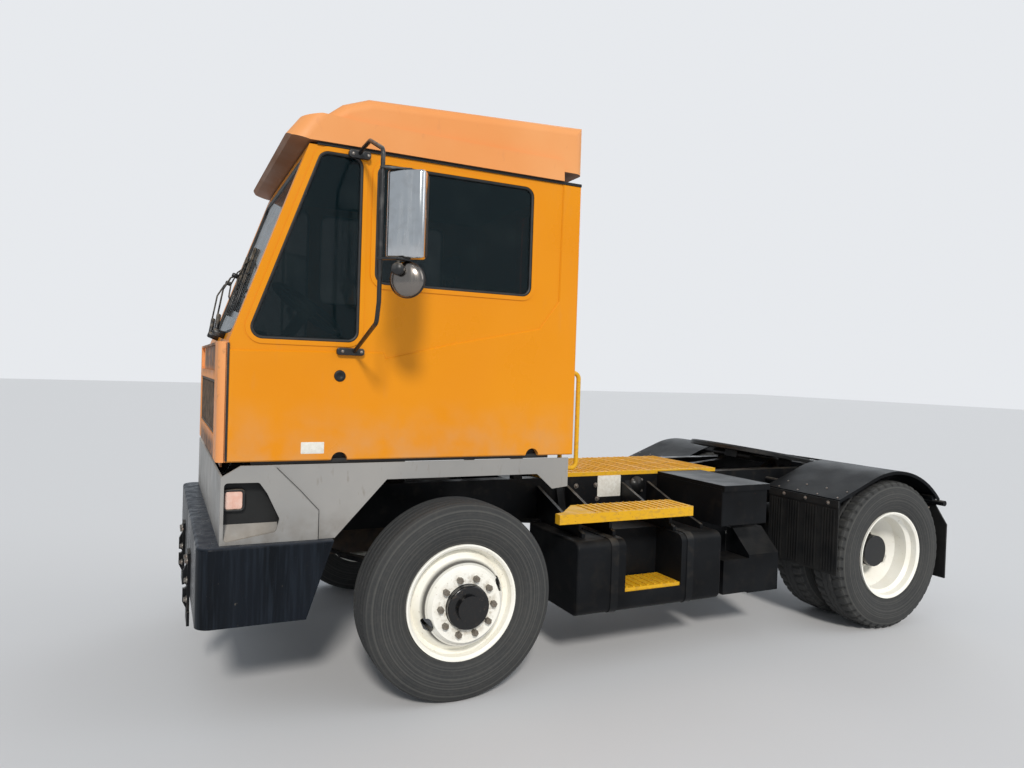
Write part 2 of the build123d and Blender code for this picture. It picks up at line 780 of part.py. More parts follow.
def rear_axle():
    """Rear axle: tubes, round banjo case with its nose, spindles and mounts under the rails."""
    half = 640
    with BuildPart() as axle:
        shaft_x(0, axle_z, (rear_axle_x - 120, rear_axle_x + 150), 205)
        fillet(axle.edges().group_by(Axis.X)[0], 60)
        fillet(axle.edges().group_by(Axis.X)[-1], 40)
        shaft_y(rear_axle_x, axle_z, (-half, half), 66)
        shaft_x(0, axle_z, (rear_axle_x + 100, rear_axle_x + axle_nose), 90)
        for side in (-1, 1):
            shaft_y(rear_axle_x, axle_z, (side * half, side * (half + 260)), spindle_radius)
            block(about(rear_axle_x, 180), (side * rail_inner_y, side * rail_outer_y), (axle_z, rail_bottom))
    return axle.part


def tyre_profile(y):
    """Tyre section as straight runs, wide at the sidewall and flat on the tread."""
    half = tyre_width / 2
    tread = tread_width / 2
    seat = rim_seat_width / 2
    bead = rim_seat_radius + bead_gap
    right = [
        (seat - 1, bead), (seat - 1, rim_flange_radius + 1), (half - 8, 350), (half, 400), (half - 6, 440),
        (tread + 14, tyre_radius - 22), (tread, tyre_radius - 5), (tread * 0.5, tyre_radius),
    ]
    left = [(-side, radius) for side, radius in reversed(right)]
    return [(y + side, radius) for side, radius in right + left]


def revolve_about_wheel(points, wheel_x, mode=Mode.ADD):
    """Revolves an outline of (y, radius) points about a wheel's axis."""
    with BuildSketch(cross_plane(wheel_x, axle_z)) as outline:
        with BuildLine():
            Polyline(*points, close=True)
        make_face()
    revolve(outline.sketch, axis=Axis((wheel_x, 0, axle_z), (0, 1, 0)), mode=mode)


def tyres(wheel_x, centres):
    """The tyres on one side of one axle."""
    with BuildPart() as piece:
        for y in centres:
            revolve_about_wheel(tyre_profile(y), wheel_x)
    return piece.part


def rim_profile(y):
    """Drop centre rim section with a turned flange at each edge."""
    seat = rim_seat_width / 2
    edge = seat + flange_width
    outer = [(edge, rim_flange_radius), (seat, rim_flange_radius), (seat, rim_seat_radius),
             (seat - 40, rim_seat_radius - 3), (seat - 60, rim_well_radius)]
    inner = [(seat - 57, rim_well_radius - rim_wall), (seat - 36, rim_seat_radius - 3 - rim_wall),
             (seat + 4, rim_seat_radius - rim_wall), (edge, rim_flange_radius - rim_wall)]
    half = [*reversed(outer), *reversed(inner)]
    mirrored = [(-side, radius) for side, radius in reversed(half)]
    return [(y + side, radius) for side, radius in half + mirrored]


def wheel_plane(wheel_x, y, side):
    """A plane square to the wheel's axis that looks outwards on its side."""
    return Plane(origin=(wheel_x, y, axle_z), x_dir=(1, 0, 0), z_dir=(0, side, 0))


def wheel_disc(wheel_x, y, face_y):
    """Rim and dished disc of one wheel, with its hand holes. face_y is the disc's outer face."""
    revolve_about_wheel(rim_profile(y), wheel_x)
    toward = 1 if face_y > y else -1
    well = rim_well_radius - rim_wall
    back = face_y - toward * disc_wall
    root = y + toward * 40
    disc = [
        (back, hub_radius - 1), (back, 178), (root, well + 2), (root + toward * disc_wall, well + 2),
        (face_y, 184), (face_y, hub_radius - 1),
    ]
    revolve_about_wheel(disc, wheel_x)
    with BuildSketch(wheel_plane(wheel_x, y, toward)) as holes:
        with PolarLocations(hand_hole_radius, hand_hole_count, start_angle=24):
            SlotOverall(hand_hole_length, hand_hole_width, rotation=90)
    extrude(holes.sketch, amount=abs(face_y - y) + 1, mode=Mode.SUBTRACT)


def wheel_nuts(wheel_x, face_y, side):
    """Six sided nuts round the hub."""
    with BuildSketch(wheel_plane(wheel_x, face_y, side)) as nuts:
        with PolarLocations(nut_circle_radius, nut_count):
            RegularPolygon(nut_radius, 6)
    extrude(nuts.sketch, amount=nut_height)


def front_wheel(side):
    """Front rim and disc with hub, oil cap, nuts and brake drum."""
    y = side * front_track / 2
    face = y + side * disc_offset
    drum = (y - side * 20, y + side * 140)
    with BuildPart() as wheel:
        shaft_y(front_axle_x, axle_z, drum, drum_radius)
        shaft_y(front_axle_x, axle_z, (drum[0] - side * 10, drum[1] - side * drum_wall),
                drum_radius - drum_wall, mode=Mode.SUBTRACT)
        shaft_y(front_axle_x, axle_z, (y - side * 10, face + side * 36), hub_radius)
        fillet(wheel.edges().filter_by(lambda edge: abs(edge.center().Y - face - side * 36) < 1), 10)
        shaft_y(front_axle_x, axle_z, (face, face + side * 58), 66)
        shaft_y(front_axle_x, axle_z, (y - side * 50, y + side * 180), spindle_radius + spindle_gap,
                mode=Mode.SUBTRACT)
        wheel_disc(front_axle_x, y, face)
        wheel_nuts(front_axle_x, face, side)
    return wheel.part


def rear_wheel(side):
    """Twin rims back to back on one finned hub with its drum."""
    outer = side * rear_outer_track / 2
    inner = outer - side * dual_spacing
    face = outer - side * disc_offset
    hub_end = face + side * 160
    drum = (face - side * 247, face - side * 47)
    with BuildPart() as wheel:
        shaft_y(rear_axle_x, axle_z, drum, drum_radius)
        shaft_y(rear_axle_x, axle_z, (drum[0] - side * 10, drum[1] - side * drum_wall),
                drum_radius - drum_wall, mode=Mode.SUBTRACT)
        shaft_y(rear_axle_x, axle_z, (face - side * 207, face + side * 40), hub_radius)
        shaft_y(rear_axle_x, axle_z, (face, hub_end), hub_radius - 19)
        shaft_y(rear_axle_x, axle_z, (hub_end - side * 24, hub_end), hub_radius - 3)
        with BuildSketch(wheel_plane(rear_axle_x, face, side)) as fins:
            with PolarLocations(hub_radius - 14, hub_fin_count):
                Rectangle(24, 10)
        extrude(fins.sketch, amount=150)
        shaft_y(rear_axle_x, axle_z, (face - side * 267, face + side * 3), spindle_radius + spindle_gap,
                mode=Mode.SUBTRACT)
        wheel_disc(rear_axle_x, outer, face)
        wheel_disc(rear_axle_x, inner, face - side * 3)
        wheel_nuts(rear_axle_x, face, side)
    return wheel.part


def engine():
    """Engine and gearbox as plain blocks, with the engine's mounts."""
    with BuildPart() as piece:
        block((front_axle_x + 60, front_axle_x + 860), (-300, 300), (600, 1180))
        block((gearbox_rear_x, front_axle_x + 60), (-200, 200), (620, 960))
        block((front_axle_x + 130, front_axle_x + 210), (-rail_web_y, rail_web_y), (800, 860))
    return piece.part


def propshaft():
    """Propeller shaft from the gearbox to the rear axle, its ends just clear of both."""
    start = (gearbox_rear_x, 735)
    finish = (rear_axle_x + axle_nose, axle_z)
    slope = atan2(start[1] - finish[1], start[0] - finish[0])
    middle = ((start[0] + finish[0]) / 2, 0, (start[1] + finish[1]) / 2)
    end_room = propshaft_radius * sin(slope) + seat_gap
    length = hypot(finish[0] - start[0], finish[1] - start[1]) - 2 * end_room
    with BuildPart() as shaft:
        with Locations(Location(middle, (0, 90 - degrees(slope), 0))):
            Cylinder(propshaft_radius, length)
    return shaft.part


def radiator():
    """Radiator core ahead of the engine."""
    half = rail_inner_y - seat_gap
    with BuildPart() as piece:
        block((front_axle_x + 900, front_axle_x + 980), (-half, half), (620, 1150))
    return piece.part


def exhaust():
    """Muffler on the right rail, with its pipe from the engine and a turned out tail."""
    muffler_radius, pipe_radius, bend = 130, 35, 60
    muffler_x = (cab_rear_x - 492, cab_rear_x + 68)
    muffler_y = -(rail_outer_y + 218)
    muffler_z = 690
    inlet_x = cab_rear_x + 8
    with BuildPart() as system:
        shaft_x(muffler_y, muffler_z, muffler_x, muffler_radius)
        fillet(system.edges(), 20)
        bent_tube([(inlet_x, muffler_y, muffler_z), (inlet_x, -250, muffler_z),
                   (front_axle_x + 60 - seat_gap, -250, muffler_z)], pipe_radius, bend)
        bent_tube([(muffler_x[0] + 10, muffler_y, muffler_z), (muffler_x[0] - 140, muffler_y, muffler_z),
                   (muffler_x[0] - 220, muffler_y - 150, muffler_z - 50)], pipe_radius, bend)
        for x in (muffler_x[0] + 100, muffler_x[1] - 180):
            block(about(x, 40), (-rail_outer_y, muffler_y + 60), (rail_bottom + 4, rail_bottom + 34))
    return system.part


# Rear boom, coupling and lift cylinders

def boom():
    """Lifting boom: pivot tube, two arms with bosses, cross plate and the coupling's pins."""
    boss_radius, plate_low = 52, boom_pivot_z + 30
    pin_end_y = ear_outer_y + 5
    arm = [
        (boom_pivot_x, boom_pivot_z - 55), (lift_eye_x, lift_eye_z - 45),
        (coupling_pivot_x - 45, coupling_pivot_z - 35), (coupling_pivot_x - 45, coupling_pivot_z + 35),
        (coupling_pivot_x + 45, coupling_pivot_z + 35), (coupling_pivot_x + 120, coupling_pivot_z - 10),
        (boom_pivot_x, boom_pivot_z + 55),
    ]
    with BuildPart() as piece:
        shaft_y(boom_pivot_x, boom_pivot_z, (-boom_outer_y, boom_outer_y), boom_hub_radius)
        for side in (-1, 1):
            side_panel(arm, (side * boom_inner_y, side * boom_outer_y))
            shaft_y(coupling_pivot_x, coupling_pivot_z, (side * boom_inner_y, side * (boom_outer_y + 5)),
                    boss_radius)
            shaft_y(coupling_pivot_x, coupling_pivot_z, (side * boom_outer_y, side * pin_end_y),
                    coupling_pin_radius)
            shaft_y(lift_eye_x, lift_eye_z, (side * (lift_y + 55), side * boom_inner_y), 45)
        block((coupling_pivot_x + 145, boom_pivot_x - 50), (-boom_inner_y, boom_inner_y),
              (plate_low, plate_low + 20))
        shaft_y(lift_eye_x, lift_eye_z, (-boom_inner_y, boom_inner_y), lift_pin_radius)
        shaft_y(boom_pivot_x, boom_pivot_z, (-boom_outer_y, boom_outer_y), boom_pin_radius + pin_gap,
                mode=Mode.SUBTRACT)
    return piece.part


def coupling_plane(height=0):
    """The coupling's own plane: X forward along the plate, Z square to it, from the pivot."""
    tilt = radians(coupling_tilt)
    base = Plane(origin=(coupling_pivot_x, 0, coupling_pivot_z), x_dir=(cos(tilt), 0, sin(tilt)),
                 z_dir=(-sin(tilt), 0, cos(tilt)))
    return base.offset(height)


def coupling_side_plane(y):
    """A plane whose own axes are the coupling's X and Z, and whose extrusions go towards -Y."""
    return Plane(origin=(coupling_pivot_x, y, coupling_pivot_z), x_dir=coupling_plane().x_dir,
                 z_dir=(0, -1, 0))


def coupling_panel(points, y_span, mode=Mode.ADD):
    """A flat panel with a polygon outline in the coupling's own X and Z."""
    with BuildSketch(coupling_side_plane(max(y_span))) as outline:
        with BuildLine():
            Polyline(*points, close=True)
        make_face()
    extrude(outline.sketch, amount=abs(y_span[1] - y_span[0]), mode=mode)


def throat_side(x):
    """Half width of the throat at a place along the coupling."""
    mouth_x, run_in_x = coupling_tail, -120
    share = (run_in_x - x) / (run_in_x - mouth_x)
    return king_pin_radius + share * (throat_half - king_pin_radius)


def fifth_wheel():
    """Coupling plate with a round front, a V throat for the king pin and pockets cut from below."""
    low = coupling_plane(coupling_rise - coupling_plate)
    neck_half = 336
    neck = throat_side(coupling_neck)
    wide = [(coupling_neck, neck_half), (-150, coupling_half),
            (coupling_front - coupling_half, coupling_half)]
    # centre along X, centre in Y, length, width
    pockets = [(-15, 215, 230, 130), (-15, 385, 230, 80), (215, 110, 170, 150), (215, 300, 170, 150)]
    with BuildPart() as piece:
        with BuildSketch(low) as outline:
            with BuildLine():
                Polyline((coupling_neck, neck), *wide)
                ThreePointArc(wide[-1], (coupling_front, 0), (wide[-1][0], -coupling_half))
                Polyline(*[(x, -y) for x, y in reversed(wide)], (coupling_neck, -neck),
                         (-120, -king_pin_radius), (0, -king_pin_radius))
                ThreePointArc((0, -king_pin_radius), (king_pin_radius, 0), (0, king_pin_radius))
                Polyline((0, king_pin_radius), (-120, king_pin_radius), (coupling_neck, neck))
            make_face()
        extrude(outline.sketch, amount=coupling_plate)
        nose = piece.edges().filter_by(GeomType.CIRCLE).filter_by(lambda edge: edge.length > 1000)
        chamfer(nose.sort_by(Axis.Z)[-1], 12)
        with BuildSketch(low) as hollows:
            for x, y, length, width in pockets:
                for side in (-1, 1):
                    with Locations((x, side * y)):
                        RectangleRounded(length, width, 20)
        extrude(hollows.sketch, amount=coupling_plate - coupling_skin, mode=Mode.SUBTRACT)
    return piece.part


def coupling_ramps():
    """Tail of the coupling: two ramps that slope down to the rear beside the throat."""
    start = coupling_neck - seat_gap
    outline = [(start, throat_side(start)), (start, 336), (coupling_tail, 330), (coupling_tail, throat_half)]
    above = [(start, coupling_rise), (coupling_tail, coupling_rise - 24), (coupling_tail, coupling_rise + 1),
             (start, coupling_rise + 1)]
    with BuildPart() as ramps:
        for side in (-1, 1):
            with BuildSketch(coupling_plane(coupling_rise - coupling_plate)) as plan:
                with BuildLine():
                    Polyline(*[(x, side * y) for x, y in outline], close=True)
                make_face()
            extrude(plan.sketch, amount=coupling_plate)
        coupling_panel(above, (-coupling_half, coupling_half), mode=Mode.SUBTRACT)
    return ramps.part


def coupling_ears():
    """Ears under the coupling plate, each with a bore round the boom's pin."""
    top = coupling_rise - coupling_plate - seat_gap
    ear = [(-100, top), (100, top), (46, -12), (-46, -12)]
    with BuildPart() as ears:
        for side in (-1, 1):
            span = (side * ear_inner_y, side * ear_outer_y)
            coupling_panel(ear, span)
            shaft_y(coupling_pivot_x, coupling_pivot_z, span, 48)
            shaft_y(coupling_pivot_x, coupling_pivot_z, span, coupling_pin_radius + pin_gap,
                    mode=Mode.SUBTRACT)
    return ears.part


def coupling_lock():
    """Lock under the plate: jaw housing round the king pin, its cylinder and the release handle."""
    top = coupling_rise - coupling_plate - seat_gap
    housing_half, low = 105, 7
    cylinder_x, cylinder_z, handle_z = 200, 32, 50
    with BuildPart() as lock:
        coupling_panel([(-120, low), (-120, top), (170, top), (120, low)], (-housing_half, housing_half))
        with BuildSketch(coupling_plane(low)) as slot:
            Circle(60)
            with Locations((-100, 0)):
                Rectangle(200, 120)
        extrude(slot.sketch, amount=coupling_rise, mode=Mode.SUBTRACT)
        for side in (-1, 1):
            with BuildSketch(coupling_side_plane(side * 60 + (150 if side > 0 else 0))) as cylinder:
                with Locations((cylinder_x, cylinder_z)):
                    Circle(28)
            extrude(cylinder.sketch, amount=150)
        coupling_panel([(100, 20), (100, 50), (230, 60), (230, 10)], (-70, 70))
        with BuildSketch(coupling_side_plane(470)) as handle:
            with Locations((cylinder_x, handle_z)):
                Circle(9)
        extrude(handle.sketch, amount=470 - 190)
    return lock.part


def lift_plane(y):
    """Own plane of a lift cylinder, Z along the rod from the base pin to the eye."""
    along = (lift_eye_x - lift_base_x, 0, lift_eye_z - lift_base_z)
    return Plane(origin=(lift_base_x, y, lift_base_z), x_dir=(0, 1, 0), z_dir=along)


def rod_round(y, start, length, radius, mode=Mode.ADD):
    """A round bar along a lift cylinder, from a distance past its base pin."""
    with BuildSketch(lift_plane(y).offset(start)) as section:
        Circle(radius)
    extrude(section.sketch, amount=length, mode=mode)


def lift_barrels():
    """Two cylinder barrels, each with a base eye, a gland ring and an open bore."""
    mouth = 340
    with BuildPart() as barrels:
        for side in (-1, 1):
            y = side * lift_y
            rod_round(y, 40, mouth - 40, lift_barrel_radius)
            rod_round(y, mouth - 40, 40, lift_barrel_radius + 6)
            shaft_y(lift_base_x, lift_base_z, (y - 45, y + 45), 48)
            rod_round(y, 110, mouth, lift_rod_radius + pin_gap, mode=Mode.SUBTRACT)
            shaft_y(lift_base_x, lift_base_z, (y - 60, y + 60), lift_pin_radius + pin_gap, mode=Mode.SUBTRACT)
    return barrels.part


def lift_rods():
    """Two rods, each with an eye round the boom's cross pin."""
    length = hypot(lift_eye_x - lift_base_x, lift_eye_z - lift_base_z)
    with BuildPart() as rods:
        for side in (-1, 1):
            y = side * lift_y
            rod_round(y, 130, length - 130, lift_rod_radius)
            shaft_y(lift_eye_x, lift_eye_z, (y - 30, y + 30), 45)
            shaft_y(lift_eye_x, lift_eye_z, (y - 40, y + 40), lift_pin_radius + lift_eye_gap,
                    mode=Mode.SUBTRACT)
    return rods.part


# Cab

def pillar_line(z):
    """X of the windscreen pillar's front edge at a height."""
    return cab_side_front_x - pillar_lean * (z - cab_belt) / (cab_eave - cab_belt)


def front_window_outline():
    """Front side window corners in X and Z."""
    low, high = cab_belt + 13, cab_eave - 24
    rear_x = cab_front_x - 645
    return [(pillar_line(low) - pillar_width, low), (rear_x, low), (rear_x, high),
            (pillar_line(high) - pillar_width, high)]


def rear_window_outline():
    """Rear side window corners in X and Z."""
    low, high = cab_belt + 310, cab_eave - 45
    front_x, rear_x = cab_front_x - 715, cab_rear_x + 298
    return [(front_x, low), (rear_x, low), (rear_x, high), (front_x, high)]


def window_face(points, y, grow):
    """A rounded window outline on a side plane, larger than its corners by grow."""
    with BuildSketch(side_plane(y)) as face:
        with BuildLine():
            Polyline(*points, close=True)
        make_face()
        fillet(face.vertices(), 55)
        if grow:
            offset(amount=grow)
    return face.sketch


def raised_outline():
    """The proud lower panel of a cab side: a belt crease that sweeps up to the rear corner."""
    step_x = cab_front_x - 785
    return [
        (cab_side_front_x, cab_bottom), (cab_side_front_x, cab_belt - 43), (step_x + 12, cab_belt - 28),
        (step_x, cab_belt - 58), (cab_front_x - 1141, cab_belt + 32), (cab_rear_x + 240, cab_belt + 139),
        (cab_rear_x + 122, cab_belt + 297), (cab_rear_x + 116, cab_eave), (cab_rear_x, cab_eave),
        (cab_rear_x, cab_bottom),
    ]


def cab_side_left():
    """Left side panel: flat skin, proud lower panel, two windows with lips, and two jacking notches."""
    lip, bevel, notch_radius = 22, 6, 40
    skin_y = cab_left_y - raised_step
    skin = [
        (cab_side_front_x, cab_bottom), (cab_side_front_x, cab_belt), (pillar_top_x, cab_eave),
        (cab_rear_x, cab_eave), (cab_rear_x, cab_bottom),
    ]
    with BuildPart() as panel:
        side_panel(raised_outline(), (cab_inner_left + 10, cab_left_y))
        chamfer(panel.faces().sort_by(Axis.Y)[-1].edges(), bevel)
        side_panel(skin, (cab_inner_left, skin_y))
        for window in (front_window_outline(), rear_window_outline()):
            extrude(window_face(window, cab_left_y - 3, lip), amount=cab_wall / 2)
            extrude(window_face(window, cab_left_y + 1, 0), amount=cab_wall + 2, mode=Mode.SUBTRACT)
        for x in (cab_front_x - 565, cab_rear_x + 262):
            shaft_y(x, cab_bottom, (cab_inner_left - 1, cab_left_y + 1), notch_radius, mode=Mode.SUBTRACT)
    return panel.part


def cab_side_right():
    """Right side panel, the left one mirrored."""
    with BuildPart() as panel:
        mirror(cab_side_left(), about=Plane(origin=(0, cab_middle_y, 0), z_dir=(0, 1, 0)))
    return panel.part


def side_windows():
    """Tinted side glass, in line with the middle of each side panel."""
    with BuildPart() as panes:
        for outer in (cab_left_y, cab_inner_right):
            for window in (front_window_outline(), rear_window_outline()):
                y = outer - cab_wall / 2 + glass / 2
                extrude(window_face(window, y, -glass_gap), amount=glass)
    return panes.part


def cab_front():
    """Front fascia: a narrow backing, a rounded face with recesses, and a skirt down to the hood."""
    backing, round_off = 12, 30
    face_x = cab_side_front_x + backing
    top = cab_belt - 8
    with BuildPart() as fascia:
        block((face_x, cab_front_x), (cab_right_y, cab_left_y), (cab_bottom, top))
        fillet(fascia.edges().filter_by(Axis.Z).group_by(Axis.X)[-1], round_off)
        block((cab_side_front_x, face_x), (cab_right_y + 12, cab_left_y - 12), (cab_bottom, top))
        block((cab_front_x - grille_recess, cab_front_x), (grille_right_y, grille_left_y),
              (grille_low, grille_high), mode=Mode.SUBTRACT)
        block((cab_front_x - 15, cab_front_x), (grille_right_y, grille_left_y), (grille_high + 43, top - 12),
              mode=Mode.SUBTRACT)
        block((cab_side_front_x, cab_side_front_x + 8), (cab_right_y + 30, cab_left_y - 230),
              (fascia_lower_z, cab_bottom))
    return fascia.part


def grille():
    """Slatted grille on the floor of the fascia's pocket."""
    depth, rim = 16, 14
    slat_count, bar_count, slat = 22, 3, 8
    back = cab_front_x - grille_recess + seat_gap
    y_low, y_high = grille_right_y + seat_gap, grille_left_y - seat_gap
    z_low, z_high = grille_low + seat_gap, grille_high - seat_gap
    with BuildPart() as lattice:
        block((back, back + depth), (y_low, y_high), (z_low, z_high))
        block((back, back + depth), (y_low + rim, y_high - rim), (z_low + rim, z_high - rim),
              mode=Mode.SUBTRACT)
        for index in range(slat_count):
            y = y_low + rim + (index + 0.5) * (y_high - y_low - 2 * rim) / slat_count
            block((back, back + depth - 2), about(y, slat), (z_low + rim / 2, z_high - rim / 2))
        for index in range(bar_count):
            z = z_low + rim + (index + 0.5) * (z_high - z_low - 2 * rim) / bar_count
            block((back, back + depth - 6), (y_low + rim / 2, y_high - rim / 2), about(z, slat))
    return lattice.part


def windscreen_plane(height=0):
    """Outer plane of the windscreen frame: X towards the left, Z out through the glass."""
    rise = cab_eave - cab_belt
    middle = ((cab_side_front_x + pillar_top_x) / 2, cab_middle_y, (cab_belt + cab_eave) / 2)
    return Plane(origin=middle, x_dir=(0, 1, 0), z_dir=(rise, 0, pillar_lean)).offset(height)


def windscreen_outline(depth, shrink):
    """Rounded windscreen outline, below the frame's outer plane by depth."""
    width = cab_inner_left - cab_inner_right - 2 * windscreen_margin
    height = hypot(pillar_lean, cab_eave - cab_belt) - 2 * windscreen_margin
    with BuildSketch(windscreen_plane(-depth)) as outline:
        RectangleRounded(width - 2 * shrink, height - 2 * shrink, 50)
    return outline.sketch


def windscreen_frame():
    """Sloping front frame between the side panels, open for the windscreen."""
    low = cab_belt - 8
    with BuildPart() as frame:
        outline = [(cab_side_front_x, low), (cab_side_front_x, cab_belt), (pillar_top_x, cab_eave),
                   (pillar_top_x - screen_frame_wall, cab_eave), (cab_side_front_x - screen_frame_wall, low)]
        side_panel(outline, (cab_inner_right, cab_inner_left))
        extrude(windscreen_outline(60, 0), amount=80, mode=Mode.SUBTRACT)
    return frame.part


def windscreen():
    """Windscreen glass in its frame."""
    with BuildPart() as pane:
        extrude(windscreen_outline(16, glass_gap), amount=glass)
    return pane.part


def wipers():
    """Two wipers parked leaning to the right: foot on the fascia, sprung arm and blade on the glass."""
    half_height = hypot(pillar_lean, cab_eave - cab_belt) / 2
    arm_low, arm_high = 42, 50
    lean = radians(38)
    across, up = -sin(lean), cos(lean)
    foot_v = 34 - half_height
    reach, blade_half = 430, 270
    with BuildPart() as pair:
        # where the foot stands from the screen's middle
        for foot_u in (-100, 330):
            tip = (foot_u + reach * across, foot_v + reach * up)
            with BuildSketch(windscreen_plane(seat_gap)) as foot:
                with Locations((foot_u, foot_v)):
                    Circle(17)
            extrude(foot.sketch, amount=arm_high + 8)
            with BuildSketch(windscreen_plane(arm_low)) as arm:
                with BuildLine():
                    Line((foot_u, foot_v), tip)
                trace(line_width=16)
            extrude(arm.sketch, amount=arm_high - arm_low)
            with BuildSketch(windscreen_plane(glass_gap - 10)) as post:
                with Locations(tip):
                    Circle(11)
            extrude(post.sketch, amount=arm_high + 10)
            with BuildSketch(windscreen_plane(glass_gap - 10)) as blade:
                with BuildLine():
                    Line((tip[0] - 0.9 * blade_half * across, tip[1] - 0.9 * blade_half * up),
                         (tip[0] + blade_half * across, tip[1] + blade_half * up))
                trace(line_width=14)
            extrude(blade.sketch, amount=30)
    return pair.part


def cab_rear_wall():
    """Rear wall with the doorway and the door's rails."""
    rim = 20
    with BuildPart() as wall:
        block((cab_rear_x, cab_rear_x + cab_wall), (cab_inner_right, cab_inner_left), (cab_bottom, cab_eave))
        block((cab_rear_x - 1, cab_rear_x + cab_wall + 1), (door_right_y + rim, door_left_y - rim),
              (door_bottom + 28, door_top - 40), mode=Mode.SUBTRACT)
        for low, high in [(door_bottom - 20, door_bottom - seat_gap), (door_top + seat_gap, door_top + 14)]:
            block((door_x - 4, cab_rear_x), (cab_inner_right + 10, door_left_y + 10), (low, high))
    return wall.part


def cab_floor():
    """Cab floor between the walls, with two hinge lugs that lean back clear of the hood."""
    lug_half, boss = 14, 28
    lug = [
        (cab_pivot_x - 26, cab_pivot_z - 12), (cab_pivot_x + 26, cab_pivot_z - 10),
        (cab_pivot_x - 65, cab_bottom), (cab_pivot_x - 135, cab_bottom),
    ]
    with BuildPart() as floor:
        block((cab_rear_x + cab_wall, cab_side_front_x), (cab_inner_right, cab_inner_left),
              (cab_bottom, floor_top))
        for side in (-1, 1):
            lug_span = (side * (hinge_y - lug_half), side * (hinge_y + lug_half))
            side_panel(lug, lug_span)
            shaft_y(cab_pivot_x, cab_pivot_z, lug_span, boss)
            shaft_y(cab_pivot_x, cab_pivot_z, lug_span, cab_pin_radius + pin_gap, mode=Mode.SUBTRACT)
    return floor.part


def cab_roof_panel():
    """Ceiling panel on the cab's walls."""
    with BuildPart() as panel:
        block((cab_rear_x, pillar_top_x - screen_frame_wall), (cab_right_y, cab_left_y),
              (cab_eave, roof_skirt_z))
    return panel.part


def roof_fairing():
    """Moulded roof cap: a skirt all round with a deep visor, and a rounded dome on top, open below."""
    left, right = cab_left_y + roof_side_gap, cab_right_y - roof_side_gap
    dome_inset, dome_round, corner_round = 25, 60, 90
    visor_top_x = pillar_top_x + 38
    skirt = [
        (roof_skirt_rear_x - 4, roof_skirt_z), (roof_skirt_rear_x, roof_crease_z - 4),
        (cab_front_x - 618, roof_crease_z + 9), (roof_break_x, roof_break_z),
        (visor_top_x, roof_break_z - 16),
        (visor_x, visor_z), (visor_x - 20, visor_z - 16), (pillar_top_x, roof_skirt_z),
    ]
    dome = [
        (roof_rear_x, roof_skirt_z + 59), (roof_rear_x, roof_rear_top), (roof_crown_x, roof_crown_z),
        (roof_crown_x + 130, roof_crown_z - 50), (roof_break_x, roof_break_z - 10),
        (roof_skirt_rear_x + 100, roof_crease_z - 40), (roof_skirt_rear_x - 10, roof_skirt_z + 59),
    ]
    hollow = [
        (roof_rear_x + roof_wall, roof_skirt_z + 80), (roof_rear_x + roof_wall, roof_rear_top - roof_wall),
        (roof_crown_x - 20, roof_crown_z - roof_wall), (roof_break_x - 20, roof_break_z - roof_wall),
        (pillar_top_x, roof_break_z - 50), (pillar_top_x - 10, roof_skirt_z - 1),
        (roof_skirt_rear_x + 30, roof_skirt_z - 1), (roof_skirt_rear_x + 30, roof_skirt_z + 80),
    ]
    hollow_inset = dome_inset + roof_wall
    with BuildPart() as bubble:
        side_panel(dome, (right + dome_inset, left - dome_inset))
        long_edges = bubble.edges().filter_by(lambda edge: edge.center().Z > roof_crease_z + 20)
        fillet(long_edges.filter_by(lambda edge: abs(edge.center().Y - cab_middle_y) > 100), dome_round)
    with BuildPart() as roof:
        side_panel(skirt, (right, left))
        corners = roof.edges().filter_by(lambda edge: edge.length < 120 and edge.center().X > visor_top_x)
        fillet(corners.filter_by(lambda edge: edge.center().Z > visor_z), corner_round)
        add(bubble.part)
        side_panel(hollow, (right + hollow_inset, left - hollow_inset), mode=Mode.SUBTRACT)
    return roof.part


def rear_door():
    """Sliding door outside the rear wall, its window panel pressed in."""
    with BuildPart() as door:
        block((door_x, door_x + door_wall), (door_right_y, door_left_y), (door_bottom, door_top))
        block((door_x, door_x + 10), (door_right_y + 90, door_left_y - 90), (cab_belt + 200, door_top - 110),
              mode=Mode.SUBTRACT)
        block((door_x - 8, door_x), (door_left_y - 60, door_left_y - 40), (cab_belt - 60, cab_belt + 120))
    return door.part


def column_plane():
    """Plane of the steering wheel, its Z up the column towards the driver."""
    lean = radians(column_lean)
    return Plane(origin=(steer_wheel_x, driver_y, steer_wheel_z), x_dir=(cos(lean), 0, sin(lean)),
                 z_dir=(-sin(lean), 0, cos(lean)))


def dashboard():
    """Dash moulding with a hooded binnacle, and the steering column."""
    rear_x, front_x = cab_front_x - 295, cab_side_front_x - 40
    low, top = cab_belt - 300, cab_belt - 10
    profile = [(rear_x, low), (rear_x, low + 60), (rear_x + 50, top - 10), (front_x, top), (front_x, low)]
    binnacle = [(rear_x + 30, top - 60), (rear_x + 45, top + 70), (rear_x + 150, top + 80),
                (rear_x + 190, top - 20)]
    with BuildPart() as dash:
        side_panel(profile, (cab_inner_right, cab_inner_left))
        side_panel(binnacle, (driver_y - 190, driver_y + 190))
        with BuildSketch(column_plane().offset(-430)) as column:
            Circle(32)
        extrude(column.sketch, amount=430 - 20 - seat_gap)
    return dash.part


def steering_wheel():
    """Steering wheel: rim, two spokes and hub."""
    with BuildPart() as wheel:
        with Locations(column_plane().location):
            Torus(steer_wheel_radius, steer_rim_radius)
            Cylinder(45, 40)
            Box(2 * steer_wheel_radius - 20, 30, 16)
    return wheel.part


